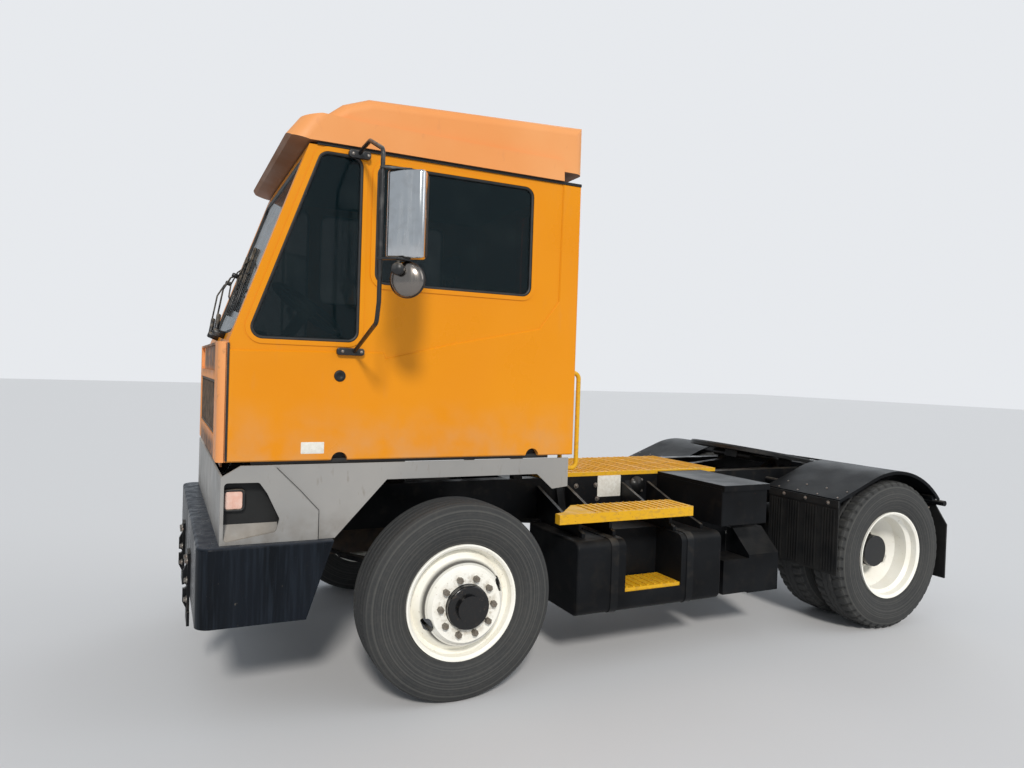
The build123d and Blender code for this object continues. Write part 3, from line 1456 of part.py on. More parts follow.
def driver_seat():
    """Driver's seat: pedestal, rounded cushion, backrest and headrest."""
    front_x = steer_wheel_x - 280
    rear_x = front_x - 500
    cushion_low, cushion_top = floor_top + 225, floor_top + 345
    with BuildPart() as rest:
        block((rear_x - 100, rear_x + 20), about(driver_y, 440), (cushion_top - 60, cushion_top + 560))
        fillet(rest.edges().filter_by(Axis.X), 70)
        fillet(rest.edges().group_by(Axis.X)[-1], 24)
    with BuildPart() as seat:
        block((rear_x, front_x), about(driver_y, 460), (cushion_low, cushion_top))
        fillet(seat.edges().filter_by(Axis.Z), 60)
        fillet(seat.edges().group_by(Axis.Z)[-1], 30)
        add(rest.part)
        block((rear_x - 90, rear_x - 10), about(driver_y, 260), (cushion_top + 600, cushion_top + 760))
        for y in (driver_y - 60, driver_y + 60):
            shaft_z(rear_x - 50, y, (cushion_top + 540, cushion_top + 610), 8)
        block((rear_x + 70, front_x - 80), about(driver_y, 300), (floor_top, cushion_low))
    return seat.part


def mirror_arms():
    """Mirror arms: a foot bar on the cab, a tall bent tube and a bracket at its top."""
    foot_z, foot_reach = cab_belt - 32, 24
    top_z = cab_eave - 20
    with BuildPart() as arms:
        # cab side, and where the upright stands
        for cab_y, tube_y in [(cab_left_y, mirror_tube_y), (cab_right_y, -mirror_tube_y)]:
            out = 1 if tube_y > 0 else -1
            corners = [
                (mirror_x, cab_y + out * 10, foot_z), (mirror_x, tube_y - out * 40, foot_z + 125),
                (mirror_x, tube_y, foot_z + 232), (mirror_x, tube_y, top_z - 75),
                (mirror_x, tube_y - out * 180, top_z), (mirror_x, cab_y + out * 10, top_z),
            ]
            bent_tube(corners, mirror_tube_radius, 30)
            foot = (cab_y, cab_y + out * foot_reach)
            block(about(mirror_x, 180), foot, about(foot_z, 36))
            block(about(mirror_x, 110), foot, (top_z - 35, cab_eave))
    return arms.part


def mirror_heads():
    """Mirror heads behind the uprights: a tall rounded glass and a small wide angle one below."""
    front = mirror_x - mirror_tube_radius - seat_gap
    tip = overall_width / 2
    low, high = cab_belt + 370, cab_belt + 770
    with BuildPart() as heads:
        for side in (-1, 1):
            # depth back from the tube, distance of the outer face in from the tip, bottom, top
            for length, inset, bottom, top in [(200, 0, low, high), (190, 6, low - 170, low - 10)]:
                with BuildSketch(Plane.XY.offset(bottom)) as section:
                    with Locations((front - length / 2, side * (tip - (mirror_depth + inset) / 2))):
                        RectangleRounded(length, mirror_depth - inset, 24)
                extrude(section.sketch, amount=top - bottom)
    return heads.part


def grab_rail():
    """Yellow grab rail from the cab's rear left corner down past its floor."""
    wall, out = cab_rear_x, cab_rear_x - 62
    y = cab_left_y - 66
    with BuildPart() as rail:
        bent_tube([(wall, y, cab_belt - 100), (out, y, cab_belt - 100), (out, y, cab_bottom - 85),
                   (wall + 48, y, cab_bottom - 85), (wall + 48, y, cab_bottom)], 13, 34)
    return rail.part


# Every piece with its name

front_wheels_y = [front_track / 2]
rear_wheels_y = [rear_outer_track / 2, rear_outer_track / 2 - dual_spacing]

pieces = {
    "frame_rails": frame_rails(),
    "frame_crossmembers": frame_crossmembers(),
    "front_bumper": front_bumper(),
    "tow_plates": tow_plates(),
    "front_fenders": front_fenders(),
    "headlamps": headlamps(),
    "deck_plate": deck_plate(),
    "side_step": side_step(),
    "fuel_tank": fuel_tank(),
    "tank_brackets": tank_brackets(),
    "tank_tread": tank_tread(),
    "equipment_box": equipment_box(),
    "rear_fenders": rear_fenders(),
    "fender_brackets": fender_brackets(),
    "mud_guards": mud_guards(),
    "rear_lamps": rear_lamps(),
    "front_axle": front_axle(),
    "front_springs": front_springs(),
    "knuckle_left": knuckle(1),
    "knuckle_right": knuckle(-1),
    "tie_rod": tie_rod(),
    "rear_axle": rear_axle(),
    "tyre_front_left": tyres(front_axle_x, front_wheels_y),
    "tyre_front_right": tyres(front_axle_x, [-y for y in front_wheels_y]),
    "tyres_rear_left": tyres(rear_axle_x, rear_wheels_y),
    "tyres_rear_right": tyres(rear_axle_x, [-y for y in rear_wheels_y]),
    "wheel_front_left": front_wheel(1),
    "wheel_front_right": front_wheel(-1),
    "wheels_rear_left": rear_wheel(1),
    "wheels_rear_right": rear_wheel(-1),
    "engine": engine(),
    "exhaust": exhaust(),
    "propshaft": propshaft(),
    "radiator": radiator(),
    "boom": boom(),
    "fifth_wheel": fifth_wheel(),
    "coupling_ramps": coupling_ramps(),
    "coupling_ears": coupling_ears(),
    "coupling_lock": coupling_lock(),
    "lift_barrels": lift_barrels(),
    "lift_rods": lift_rods(),
    "cab_side_left": cab_side_left(),
    "cab_side_right": cab_side_right(),
    "side_windows": side_windows(),
    "cab_front": cab_front(),
    "grille": grille(),
    "windscreen_frame": windscreen_frame(),
    "windscreen": windscreen(),
    "wipers": wipers(),
    "cab_rear_wall": cab_rear_wall(),
    "cab_floor": cab_floor(),
    "cab_roof_panel": cab_roof_panel(),
    "roof_fairing": roof_fairing(),
    "rear_door": rear_door(),
    "dashboard": dashboard(),
    "steering_wheel": steering_wheel(),
    "driver_seat": driver_seat(),
    "mirror_arms": mirror_arms(),
    "mirror_heads": mirror_heads(),
    "grab_rail": grab_rail(),
}

os.makedirs("parts", exist_ok=True)
for label, part in pieces.items():
    part.label = label
    export_step(part, f"parts/{label}.step")
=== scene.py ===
# %% [markdown]
# # A yard tractor, dressed for its portrait
# The truck was drawn as solids first: rails, wheels, cab, coupling. This file loads those solids
# as a fixed frame and gives them what solids can't carry, such as paint that has been in the sun,
# tyres with a tread, rubber seals, bolts, a cushion that gives, and light. Everything is in metres,
# X forward, Y to the driver's left, Z up, with the ground at zero.

# %% Load the frame
import math

import bmesh
import bpy
import numpy as np
from mathutils import Matrix, Vector


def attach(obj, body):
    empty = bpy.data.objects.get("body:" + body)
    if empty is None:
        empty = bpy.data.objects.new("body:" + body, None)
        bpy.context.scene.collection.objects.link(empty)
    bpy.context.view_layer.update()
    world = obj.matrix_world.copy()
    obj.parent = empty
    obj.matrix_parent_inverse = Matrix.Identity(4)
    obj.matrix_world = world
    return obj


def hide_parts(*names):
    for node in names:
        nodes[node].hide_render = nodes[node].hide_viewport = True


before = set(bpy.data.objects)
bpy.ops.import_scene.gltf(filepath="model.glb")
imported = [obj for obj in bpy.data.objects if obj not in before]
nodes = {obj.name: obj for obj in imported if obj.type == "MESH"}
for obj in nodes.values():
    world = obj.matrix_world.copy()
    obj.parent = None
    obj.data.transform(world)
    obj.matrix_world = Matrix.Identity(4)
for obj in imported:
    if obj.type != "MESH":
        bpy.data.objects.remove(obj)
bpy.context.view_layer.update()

# %% [markdown]
# ## Where the photographer stood
# The picture is wide and close: the near front wheel looks half again as large as the rear one.
# A lens could be guessed and nudged by hand, but the wheels, the rails and the cab's corners fix it.
# Solving for them gives a 25.6 mm lens a little over four and a half metres from the centreline,
# at standing height, turned and tilted by a few degrees.

# %% Camera
def link(obj):
    """Puts a new object into the scene and hands it back."""
    bpy.context.scene.collection.objects.link(obj)
    return obj


eye_point = Vector((2.6878, 4.5411, 1.6947))
yaw, pitch, roll = 0.4526, -0.0165, 0.0326
focal_mm, sensor_mm = 25.58, 36.0
ahead = Vector((-math.sin(yaw) * math.cos(pitch), -math.cos(yaw) * math.cos(pitch), math.sin(pitch)))
level = ahead.cross(Vector((0, 0, 1))).normalized()
upright = level.cross(ahead)
across = math.cos(roll) * level + math.sin(roll) * upright
upward = -math.sin(roll) * level + math.cos(roll) * upright

lens = bpy.data.cameras.new("portrait")
lens.lens, lens.sensor_width, lens.sensor_fit = focal_mm, sensor_mm, "HORIZONTAL"
lens.clip_end = 200
camera = link(bpy.data.objects.new("portrait", lens))
stance = Matrix((across, upward, -ahead)).transposed().to_4x4()
camera.matrix_world = Matrix.Translation(eye_point) @ stance
bpy.context.scene.camera = camera
print("camera at", [round(v, 3) for v in eye_point], "lens", lens.lens)

# %% [markdown]
# ## A plain room
# The truck is shown alone, on a pale sheet that runs to the horizon. The pale sky behind it is only
# for the camera: a sky that bright would light the truck too and turn black paint grey, so a dimmer
# one lights it. Area lamps would leave the far floor dark, so the lights are distant ones with a
# wide spread, which keep the floor even and the shadows soft. The strong one is high on the left,
# because that side of the cab is in full light, and weaker ones fill the far side and tail.

# %% Floor, sky and lamps
def feed(owner, socket, value):
    """Gives a socket a plain value, or a wire from another node's output."""
    if isinstance(value, bpy.types.NodeSocket):
        owner.node_tree.links.new(value, socket)
    else:
        socket.default_value = value


def node(owner, kind, inputs=None, **settings):
    """A new node of a material or a world, with its settings and inputs. Hands back its outputs."""
    made = owner.node_tree.nodes.new("ShaderNode" + kind)
    for key, value in settings.items():
        setattr(made, key, value)
    for key, value in (inputs or {}).items():
        feed(owner, made.inputs[key], value)
    return made.outputs


floor_half = 60
floor_mesh = bpy.data.meshes.new("floor")
floor_mesh.from_pydata([(-floor_half, -floor_half, 0), (floor_half, -floor_half, 0),
                        (floor_half, floor_half, 0), (-floor_half, floor_half, 0)], [], [(0, 1, 2, 3)])
floor = link(bpy.data.objects.new("floor", floor_mesh))

floor_paint = bpy.data.materials.new("pale_floor")
floor_paint.use_nodes = True
floor_shader = floor_paint.node_tree.nodes["Principled BSDF"].inputs
floor_shader["Base Color"].default_value = (0.62, 0.62, 0.63, 1)
floor_shader["Roughness"].default_value = 0.9
floor_grain = node(floor_paint, "TexNoise", {"Scale": 3.0})["Fac"]
floor_bump = node(floor_paint, "Bump", {"Height": floor_grain, "Strength": 0.04})["Normal"]
feed(floor_paint, floor_shader["Normal"], floor_bump)
floor_mesh.materials.append(floor_paint)

sky = bpy.data.worlds.new("studio")
sky.use_nodes = True
ambient = sky.node_tree.nodes["Background"]
ambient.inputs["Color"].default_value = (0.86, 0.93, 1.0, 1)
ambient.inputs["Strength"].default_value = 0.55
seen = node(sky, "Background", {"Color": (0.80, 0.82, 0.85, 1), "Strength": 1.0})[0]
camera_ray = node(sky, "LightPath")["Is Camera Ray"]
picked = node(sky, "MixShader", {"Fac": camera_ray, 1: ambient.outputs[0], 2: seen})[0]
feed(sky, sky.node_tree.nodes["World Output"].inputs["Surface"], picked)
bpy.context.scene.world = sky


def soft_lamp(name, toward, strength, spread, colour):
    """An even light from far away, along a direction, with this spread in degrees for soft shadows."""
    data = bpy.data.lights.new(name, "SUN")
    data.energy, data.angle, data.color = strength, math.radians(spread), colour
    lamp = link(bpy.data.objects.new(name, data))
    lamp.rotation_euler = Vector(toward).to_track_quat("-Z", "Y").to_euler()


soft_lamp("sun_side", (-2.8, -8.4, -6.2), 2.2, 9, (1.0, 0.96, 0.90))
soft_lamp("far_fill", (7.0, 7.0, -5.0), 0.55, 40, (0.90, 0.95, 1.0))
soft_lamp("tail_fill", (7.0, -4.0, -4.2), 0.45, 40, (1.0, 1.0, 1.0))
bpy.context.scene.view_settings.view_transform = "Standard"
print("stage ready")

# %% [markdown]
# ## How a finish is mixed
# A real surface is a base colour, then weather: sun takes the colour out in clouds a hand wide,
# dust settles on what faces up, road dirt climbs from below, and fine grain breaks the shine. Image
# textures could carry all that, but they would have to be painted for one shape. Noise measured in
# metres on the object works for every piece, so each finish below is a colour and a few layers of it.

# %% A finish and its layers
def srgb(red, green, blue):
    """A colour as a screen shows it, 0 to 255, turned into the linear values that a shader mixes."""
    shown = np.array([red, green, blue]) / 255.0
    linear = np.where(shown <= 0.04045, shown / 12.92, ((shown + 0.055) / 1.055) ** 2.4)
    return tuple(float(v) for v in linear) + (1.0,)


class Finish:
    """A material that starts plain and takes layers. Masks run from 0 to 1, lengths are in metres."""

    def __init__(self, name, colour=None, roughness=None, like=None, **sockets):
        self.material = like.material.copy() if like else bpy.data.materials.new(name)
        self.material.name = name
        self.material.use_nodes = True
        self.inputs = self.material.node_tree.nodes["Principled BSDF"].inputs
        if colour:
            sockets.update(Base_Color=srgb(*colour), Roughness=roughness)
        for socket, value in sockets.items():
            self.inputs[socket.replace("_", " ")].default_value = value

    def node(self, kind, inputs=None, **settings):
        """A new node's outputs."""
        return node(self.material, kind, inputs, **settings)

    def place(self, stretch=(1, 1, 1)):
        """The point on the object, stretched along its axes."""
        return self.node("Mapping", {"Vector": self.node("TexCoord")["Object"], "Scale": stretch})["Vector"]

    def ramp(self, value, low, high):
        """A mask that goes from 0 to 1 while a value goes from low to high."""
        return self.node("MapRange", {"Value": value, "From Min": low, "From Max": high})["Result"]

    def cloud(self, size, detail=4.0, stretch=(1, 1, 1), sharp=(0.35, 0.65)):
        """A mask of soft patches about this large, with their edges set by sharp."""
        noise = self.node("TexNoise", {"Vector": self.place(stretch), "Scale": 1.0 / size, "Detail": detail})
        return self.ramp(noise["Fac"], *sharp)

    def along(self, axis, low, high):
        """A mask that rises from low to high along X, Y or Z."""
        return self.ramp(self.node("SeparateXYZ", {"Vector": self.place()})[axis], low, high)

    def facing_up(self, low=0.3, high=0.9):
        """A mask of what faces the sky."""
        normal = self.node("NewGeometry")["Normal"]
        return self.ramp(self.node("SeparateXYZ", {"Vector": normal})["Z"], low, high)

    def from_axle(self, axle_x):
        """How far a point is from an axle: sqrt((x - axle x)^2 + (z - axle height)^2)."""
        flat = self.node("VectorMath", {0: self.place(), 1: (1, 0, 1)}, operation="MULTIPLY")["Vector"]
        return self.node("VectorMath", {0: flat, 1: (axle_x, 0, axle_height)}, operation="DISTANCE")["Value"]

    def both(self, first, second):
        """The product of two masks. The second may be a plain number."""
        return self.node("Math", {0: first, 1: second}, operation="MULTIPLY", use_clamp=True)[0]

    def tint(self, mask, colour, strength=1.0):
        """Lays a colour over what the finish has so far, where the mask is white."""
        base = self.inputs["Base Color"]
        under = base.links[0].from_socket if base.is_linked else base.default_value
        mix = {"A": under, "B": srgb(*colour), "Factor": self.both(mask, strength)}
        feed(self.material, base, self.node("Mix", mix, data_type="RGBA")["Result"])

    def patches(self, size, colour, strength, detail=4.0, stretch=(1, 1, 1), sharp=(0.35, 0.65), inside=None):
        """Tints soft patches, only inside another mask where one is given."""
        mask = self.cloud(size, detail, stretch, sharp)
        self.tint(mask if inside is None else self.both(inside, mask), colour, strength)

    def sheen_by(self, mask, bright, dull):
        """Roughness between two values by a mask."""
        blend = self.node("MapRange", {"Value": mask, "To Min": bright, "To Max": dull})
        feed(self.material, self.inputs["Roughness"], blend["Result"])

    def relief(self, mask, depth):
        """Fine height from a mask, as bumps. Later layers sit on earlier ones."""
        normal = self.inputs["Normal"]
        bump = {"Height": mask, "Distance": depth, "Strength": 1.0}
        if normal.is_linked:
            bump["Normal"] = normal.links[0].from_socket
        feed(self.material, normal, self.node("Bump", bump)["Normal"])

    def grain(self, size, depth):
        """Fine grain all over."""
        self.relief(self.cloud(size, 2.0, sharp=(0.2, 0.8)), depth)


dust_tan, road_dirt, rust_brown = (176, 160, 138), (92, 80, 66), (110, 62, 36)
axle_height, front_axle_x, rear_axle_x = 0.512, 1.27, -1.90
print("finish ready for its layers")

# %% [markdown]
# ## Paints
# The cab wears two paints: a strong orange yellow on the steel sides and a pinkish salmon that the
# sun has made of the orange on the plastic roof and nose. The hood is a grey two coat that chalks
# fast. The frame is black, which is never black outdoors: dust makes it grey brown on every ledge.

# %% Cab, roof, hood and frame paints
cab_paint = Finish("cab_orange_yellow", (222, 137, 4), 0.34, Specular_IOR_Level=0.28, Coat_Weight=0.05)
cab_paint.patches(0.9, (228, 147, 12), 0.55, 3.0)
cab_paint.patches(0.05, (214, 138, 52), 0.35, 6.0, (1, 1, 0.25), (0.62, 0.78))
cab_paint.patches(0.16, dust_tan, 0.28, 6.0, inside=cab_paint.along("Z", 1.55, 1.235))
cab_paint.sheen_by(cab_paint.cloud(0.25, 5.0), 0.26, 0.42)
cab_paint.grain(0.004, 0.00006)

roof_paint = Finish("roof_faded_salmon", (227, 148, 82), 0.5, Specular_IOR_Level=0.35)
roof_paint.patches(0.7, (233, 166, 106), 0.6)
roof_paint.patches(0.045, (202, 130, 82), 0.5, 7.0, (1, 1, 0.4), (0.64, 0.80))
roof_paint.patches(0.22, dust_tan, 0.25, 6.0, inside=roof_paint.facing_up(0.6, 1.0))
# painted shade: what faces down, such as the visor's underside, is tinted dark brown
roof_paint.tint(roof_paint.facing_up(-0.2, -0.7), (88, 60, 42), 0.8)
roof_paint.sheen_by(roof_paint.cloud(0.3), 0.42, 0.62)
roof_paint.grain(0.006, 0.0001)

nose_paint = Finish("nose_dusty_salmon", (226, 146, 82), 0.55, Specular_IOR_Level=0.35)
nose_paint.patches(0.4, (232, 164, 106), 0.5)
between_strips = nose_paint.both(nose_paint.along("Y", 0.790, 0.770), nose_paint.along("Y", -0.300, -0.280))
# the nose turns darker upward towards the screen and downward along its lower edge
for pale_at, dark_at, size in ((1.625, 1.680, 0.07), (1.350, 1.290, 0.06)):
    band = nose_paint.both(between_strips, nose_paint.along("Z", pale_at, dark_at))
    nose_paint.patches(size, (72, 56, 44), 0.9, 7.0, sharp=(0.2, 0.5), inside=band)
nose_paint.patches(0.03, (128, 96, 70), 0.45, 8.0, sharp=(0.6, 0.75))
nose_paint.sheen_by(nose_paint.cloud(0.2), 0.45, 0.7)
nose_paint.grain(0.005, 0.0002)

hood_paint = Finish("hood_chalky_grey", (141, 140, 138), 0.55)
hood_paint.patches(0.5, (157, 154, 150), 0.7)
hood_paint.patches(0.035, (112, 100, 88), 0.55, 8.0, (1, 1, 0.3), (0.62, 0.76))
hood_paint.patches(0.12, dust_tan, 0.45, 6.0, inside=hood_paint.facing_up())
hood_paint.patches(0.08, road_dirt, 0.45, 6.0, inside=hood_paint.along("Z", 1.02, 0.86))
hood_paint.sheen_by(hood_paint.cloud(0.2, 5.0), 0.42, 0.68)
hood_paint.grain(0.005, 0.00012)


def frame_black(name, colour, dust=0.5, dirt=0.4, roughness=(0.28, 0.55), shine=0.16):
    """Black frame paint: dust on ledges, dirt in patches, and chips gone to primer and rust."""
    made = Finish(name, colour, 0.36, Specular_IOR_Level=shine)
    made.patches(0.35, (28, 30, 33), 0.55, 5.0)
    made.patches(0.09, (104, 98, 90), dust, 6.0, sharp=(0.25, 0.6), inside=made.facing_up())
    made.patches(0.07, (58, 52, 45), dirt, 8.0, sharp=(0.55, 0.75))
    made.patches(0.02, rust_brown, 0.35, 8.0, sharp=(0.71, 0.79))
    made.sheen_by(made.cloud(0.15, 5.0), *roughness)
    made.grain(0.004, 0.00015)
    return made


chassis_paint = frame_black("frame_black", (15, 16, 18), 0.5, 0.35)
tank_paint = frame_black("tank_black", (13, 14, 16), 0.10, 0.15, (0.40, 0.50), 0.10)
fender_paint = frame_black("fender_black", (13, 14, 16), 0.05, 0.10, (0.42, 0.50), 0.07)
axle_paint = frame_black("axle_black", (24, 24, 24), 0.5, 0.7)

# rain has run down the bumper and left pale streaks, and its ledge carries a painted blue grey reflection of
# the sky
bumper_paint = Finish("bumper_blue_black", (11, 15, 20), 0.3, Specular_IOR_Level=0.12)
bumper_paint.patches(0.012, (44, 52, 62), 0.5, 5.0, (1, 1, 0.05), (0.45, 0.75))
bumper_paint.patches(0.25, (24, 29, 37), 0.6, stretch=(1, 1, 0.3))
# painted reflection: what faces up is lightened to a blue grey
bumper_paint.tint(bumper_paint.facing_up(0.5, 0.95), (60, 64, 72), 0.7)
bumper_paint.patches(0.02, (120, 112, 100), 0.5, 8.0, sharp=(0.71, 0.79))
bumper_paint.sheen_by(bumper_paint.cloud(0.05, 5.0, (1, 1, 0.1)), 0.22, 0.5)
bumper_paint.grain(0.004, 0.0001)
print("paints ready")

# %% [markdown]
# ## Rubber, glass, bare metal and the rest
# Tyre rubber in a yard is grey from dust, with painted highlights in pale rings round the wall.
# The cab glass is tinted so dark that only the shapes of the seat and wheel show. Steps and deck
# keep their yellow only where no boot lands. The coupling is greased iron: dark, wet looking, with
# dust stuck to the grease.

# %% Other finishes
tyre_rubber = Finish("dusty_tyre", (52, 53, 54), 0.8, Specular_IOR_Level=0.3)
tyre_rubber.patches(0.3, (64, 64, 63), 0.5, 3.0)
tyre_rubber.patches(0.02, (86, 83, 78), 0.22, 8.0, sharp=(0.45, 0.8))
# painted highlights and fine bumps run in rings round the wall, so this noise is read by the distance
# from the nearest axle alone
axle_spans = {which: tyre_rubber.from_axle(x) for which, x in enumerate((front_axle_x, rear_axle_x))}
nearest = tyre_rubber.node("Math", axle_spans, operation="MINIMUM")[0]
wall_ring_noise = tyre_rubber.node("TexNoise", {"W": nearest, "Scale": 90.0, "Detail": 4.0}, noise_dimensions="1D")
ring_bumps_and_highlights = tyre_rubber.ramp(wall_ring_noise["Fac"], 0.5, 0.72)
# painted highlights: pale rings tinted round the wall
tyre_rubber.tint(ring_bumps_and_highlights, (98, 98, 94), 0.45)
tyre_rubber.relief(ring_bumps_and_highlights, 0.0006)
tyre_rubber.grain(0.003, 0.0003)

soft_rubber = Finish("black_rubber", (22, 23, 24), 0.6, Specular_IOR_Level=0.3)
soft_rubber.patches(0.12, (46, 45, 43), 0.5, 5.0)
soft_rubber.grain(0.003, 0.0002)

seal_rubber = Finish("window_seal_rubber", (20, 21, 22), 0.5)
seal_rubber.patches(0.06, (48, 46, 44), 0.5, 5.0)
seal_rubber.grain(0.002, 0.0001)

dark_plastic = Finish("dark_moulded_plastic", (20, 21, 22), 0.5, Specular_IOR_Level=0.35)
dark_plastic.patches(0.2, (38, 38, 37), 0.45, 5.0)
dark_plastic.grain(0.0025, 0.0003)

tinted_glass = Finish("tinted_cab_glass", (12, 26, 30), 0.06, Alpha=0.70, IOR=1.5, Specular_IOR_Level=0.3)
tinted_glass.patches(0.15, (44, 54, 54), 0.25, 5.0, sharp=(0.5, 0.8))
tinted_glass.sheen_by(tinted_glass.cloud(0.08, 6.0), 0.03, 0.14)

rim_paint = Finish("wheel_white", (248, 246, 238), 0.4, Coat_Weight=0.1)
rim_paint.patches(0.12, (240, 235, 220), 0.5, 6.0)
rim_paint.patches(0.015, (150, 132, 108), 0.5, 8.0, sharp=(0.64, 0.76))
rim_paint.grain(0.003, 0.00015)

step_paint = Finish("worn_step_yellow", (216, 163, 22), 0.55, Specular_IOR_Level=0.3)
step_paint.patches(0.3, (226, 176, 42), 0.5, 5.0)
step_paint.patches(0.03, (176, 132, 60), 0.5, 8.0, (1, 1, 2), (0.52, 0.66))
step_paint.patches(0.012, rust_brown, 0.7, 8.0, sharp=(0.66, 0.74))
step_paint.sheen_by(step_paint.cloud(0.1, 5.0), 0.42, 0.75)
step_paint.grain(0.003, 0.0003)

greased_iron = Finish("greased_iron", (26, 26, 26), 0.45, Metallic=0.4)
greased_iron.patches(0.25, (50, 47, 43), 0.5, 5.0, sharp=(0.4, 0.7))
greased_iron.patches(0.03, (84, 76, 66), 0.3, 7.0, (1, 0.25, 1), (0.55, 0.75))
greased_iron.sheen_by(greased_iron.cloud(0.2, 5.0), 0.3, 0.55)
greased_iron.grain(0.004, 0.0005)

cast_iron = Finish("dirty_cast_iron", (52, 48, 44), 0.7, Metallic=0.3)
cast_iron.patches(0.05, (96, 76, 58), 0.5, 7.0)
cast_iron.grain(0.003, 0.0006)

bright_steel = Finish("polished_steel", (206, 208, 210), 0.16, Metallic=1.0)
bright_steel.patches(0.05, (150, 146, 140), 0.3, 7.0, sharp=(0.5, 0.8))
bright_steel.sheen_by(bright_steel.cloud(0.02, 6.0, (1, 1, 0.1)), 0.1, 0.28)

muffler_steel = Finish("heat_stained_steel", (120, 104, 88), 0.6, Metallic=0.7)
muffler_steel.patches(0.06, rust_brown, 0.6, 7.0)
muffler_steel.grain(0.003, 0.0004)

grille_grime = Finish("grimy_grille", (66, 56, 48), 0.7)
grille_grime.patches(0.05, (120, 104, 88), 0.6, 6.0)
grille_grime.grain(0.004, 0.0005)

seat_cloth = Finish("seat_cloth", (40, 42, 46), 0.95, Sheen_Weight=0.4, Sheen_Roughness=0.4)
seat_cloth.patches(0.01, (62, 64, 70), 0.6, 3.0)
seat_cloth.grain(0.0016, 0.0008)

lamp_lens = Finish("pinkish_lamp_lens", (226, 178, 160), 0.12, Coat_Weight=0.5)
lamp_lens.patches(0.03, (240, 214, 200), 0.6)
lamp_lens.relief(lamp_lens.cloud(0.008, 0.0, (1, 1, 0.05)), 0.0006)

tail_lens = Finish("red_tail_lens", (150, 24, 20), 0.15, Coat_Weight=0.5)
tail_lens.patches(0.02, (190, 44, 34), 0.5)
# ahead of the round lenses the lamps are black boxes
tail_lens.tint(tail_lens.along("X", -2.5320, -2.5295), (18, 18, 19))

bolt_steel = Finish("zinc_bolt", (150, 148, 142), 0.42, Metallic=0.8)
bolt_steel.patches(0.012, rust_brown, 0.45, 6.0)
bolt_steel.patches(0.03, (60, 58, 54), 0.6, 5.0, sharp=(0.5, 0.7))
bolt_steel.grain(0.002, 0.0002)

mirror_glass = Finish("mirror_glass", (214, 218, 220), 0.03, Metallic=1.0)
# the round mirror under the tall head gets a painted reflection on its back
mirror_steel = Finish("polished_mirror_back", like=bright_steel)
# painted reflection of the brown ground, below the height of the tall head
mirror_steel.tint(mirror_steel.along("Z", 2.172, 2.166), (112, 100, 88), 0.8)
mirror_black = Finish("mirror_arm_black", (30, 31, 33), 0.4)
mirror_black.patches(0.05, (120, 118, 114), 0.45, 6.0, sharp=(0.55, 0.75))
mirror_black.patches(0.03, dust_tan, 0.5, 6.0, inside=mirror_black.facing_up())

plate_white = Finish("blank_plate_white", (226, 224, 216), 0.5)
plate_white.patches(0.02, (196, 190, 176), 0.5, 6.0)
plate_white.patches(0.006, (140, 126, 104), 0.5, 8.0, sharp=(0.62, 0.74))
print(len(bpy.data.materials), "finishes")

# %% [markdown]
# ## Wheels: white rims round black hubs
# Each wheel is one solid, rim, disc, hub and drum together, yet three colours meet on it. The paint
# could be split by picking faces, but a wheel is round, so the distance from the axle does it: black
# inside the hub's radius, brake dust behind the disc, and a dirty band where the nuts sit.

# %% Finish of a wheel, by the distance from its axle
sides = ((1, "left"), (-1, "right"))


def wheel_finish(name, axle_x, dark_from, dark_to, nut_from, nut_to):
    """White paint, with black where the distance from the axle is under the hub's radius."""
    made = Finish(name, like=rim_paint)
    span = made.from_axle(axle_x)
    drum = made.both(made.along("Y", dark_from, dark_to), made.ramp(span, 0.228, 0.215))
    hub = made.ramp(span, 0.1145, 0.1125)
    nuts = made.both(made.along("Y", nut_from, nut_to), made.ramp(span, 0.168, 0.166))
    made.patches(0.02, (150, 132, 104), 0.5, 7.0, sharp=(0.45, 0.65), inside=made.ramp(span, 0.175, 0.14))
    made.tint(drum, (32, 29, 26), 0.9)
    made.tint(nuts, (92, 82, 68), 0.9)
    made.patches(0.008, (58, 48, 38), 0.6, 6.0, inside=nuts)
    made.tint(hub, (14, 14, 15))
    made.patches(0.015, road_dirt, 0.4, 7.0, sharp=(0.6, 0.75), inside=hub)
    made.sheen_by(hub, 0.42, 0.2)
    return made


def dress(label, finish):
    """Gives a node its finish."""
    nodes[label].data.materials.clear()
    nodes[label].data.materials.append(finish.material)


# node, axle, the run along Y where the paint goes dark towards the drum, and where the nuts begin
for wheel, axle_x, *runs in [("wheel_front_", front_axle_x, 1.165, 1.150, 1.1885, 1.1900),
                             ("wheels_rear_", rear_axle_x, 0.885, 0.870, 0.9185, 0.9200)]:
    for side, hand in sides:
        label = wheel + hand
        dress(label, wheel_finish(label + "_paint", axle_x, *[side * y for y in runs]))
print("wheels painted")

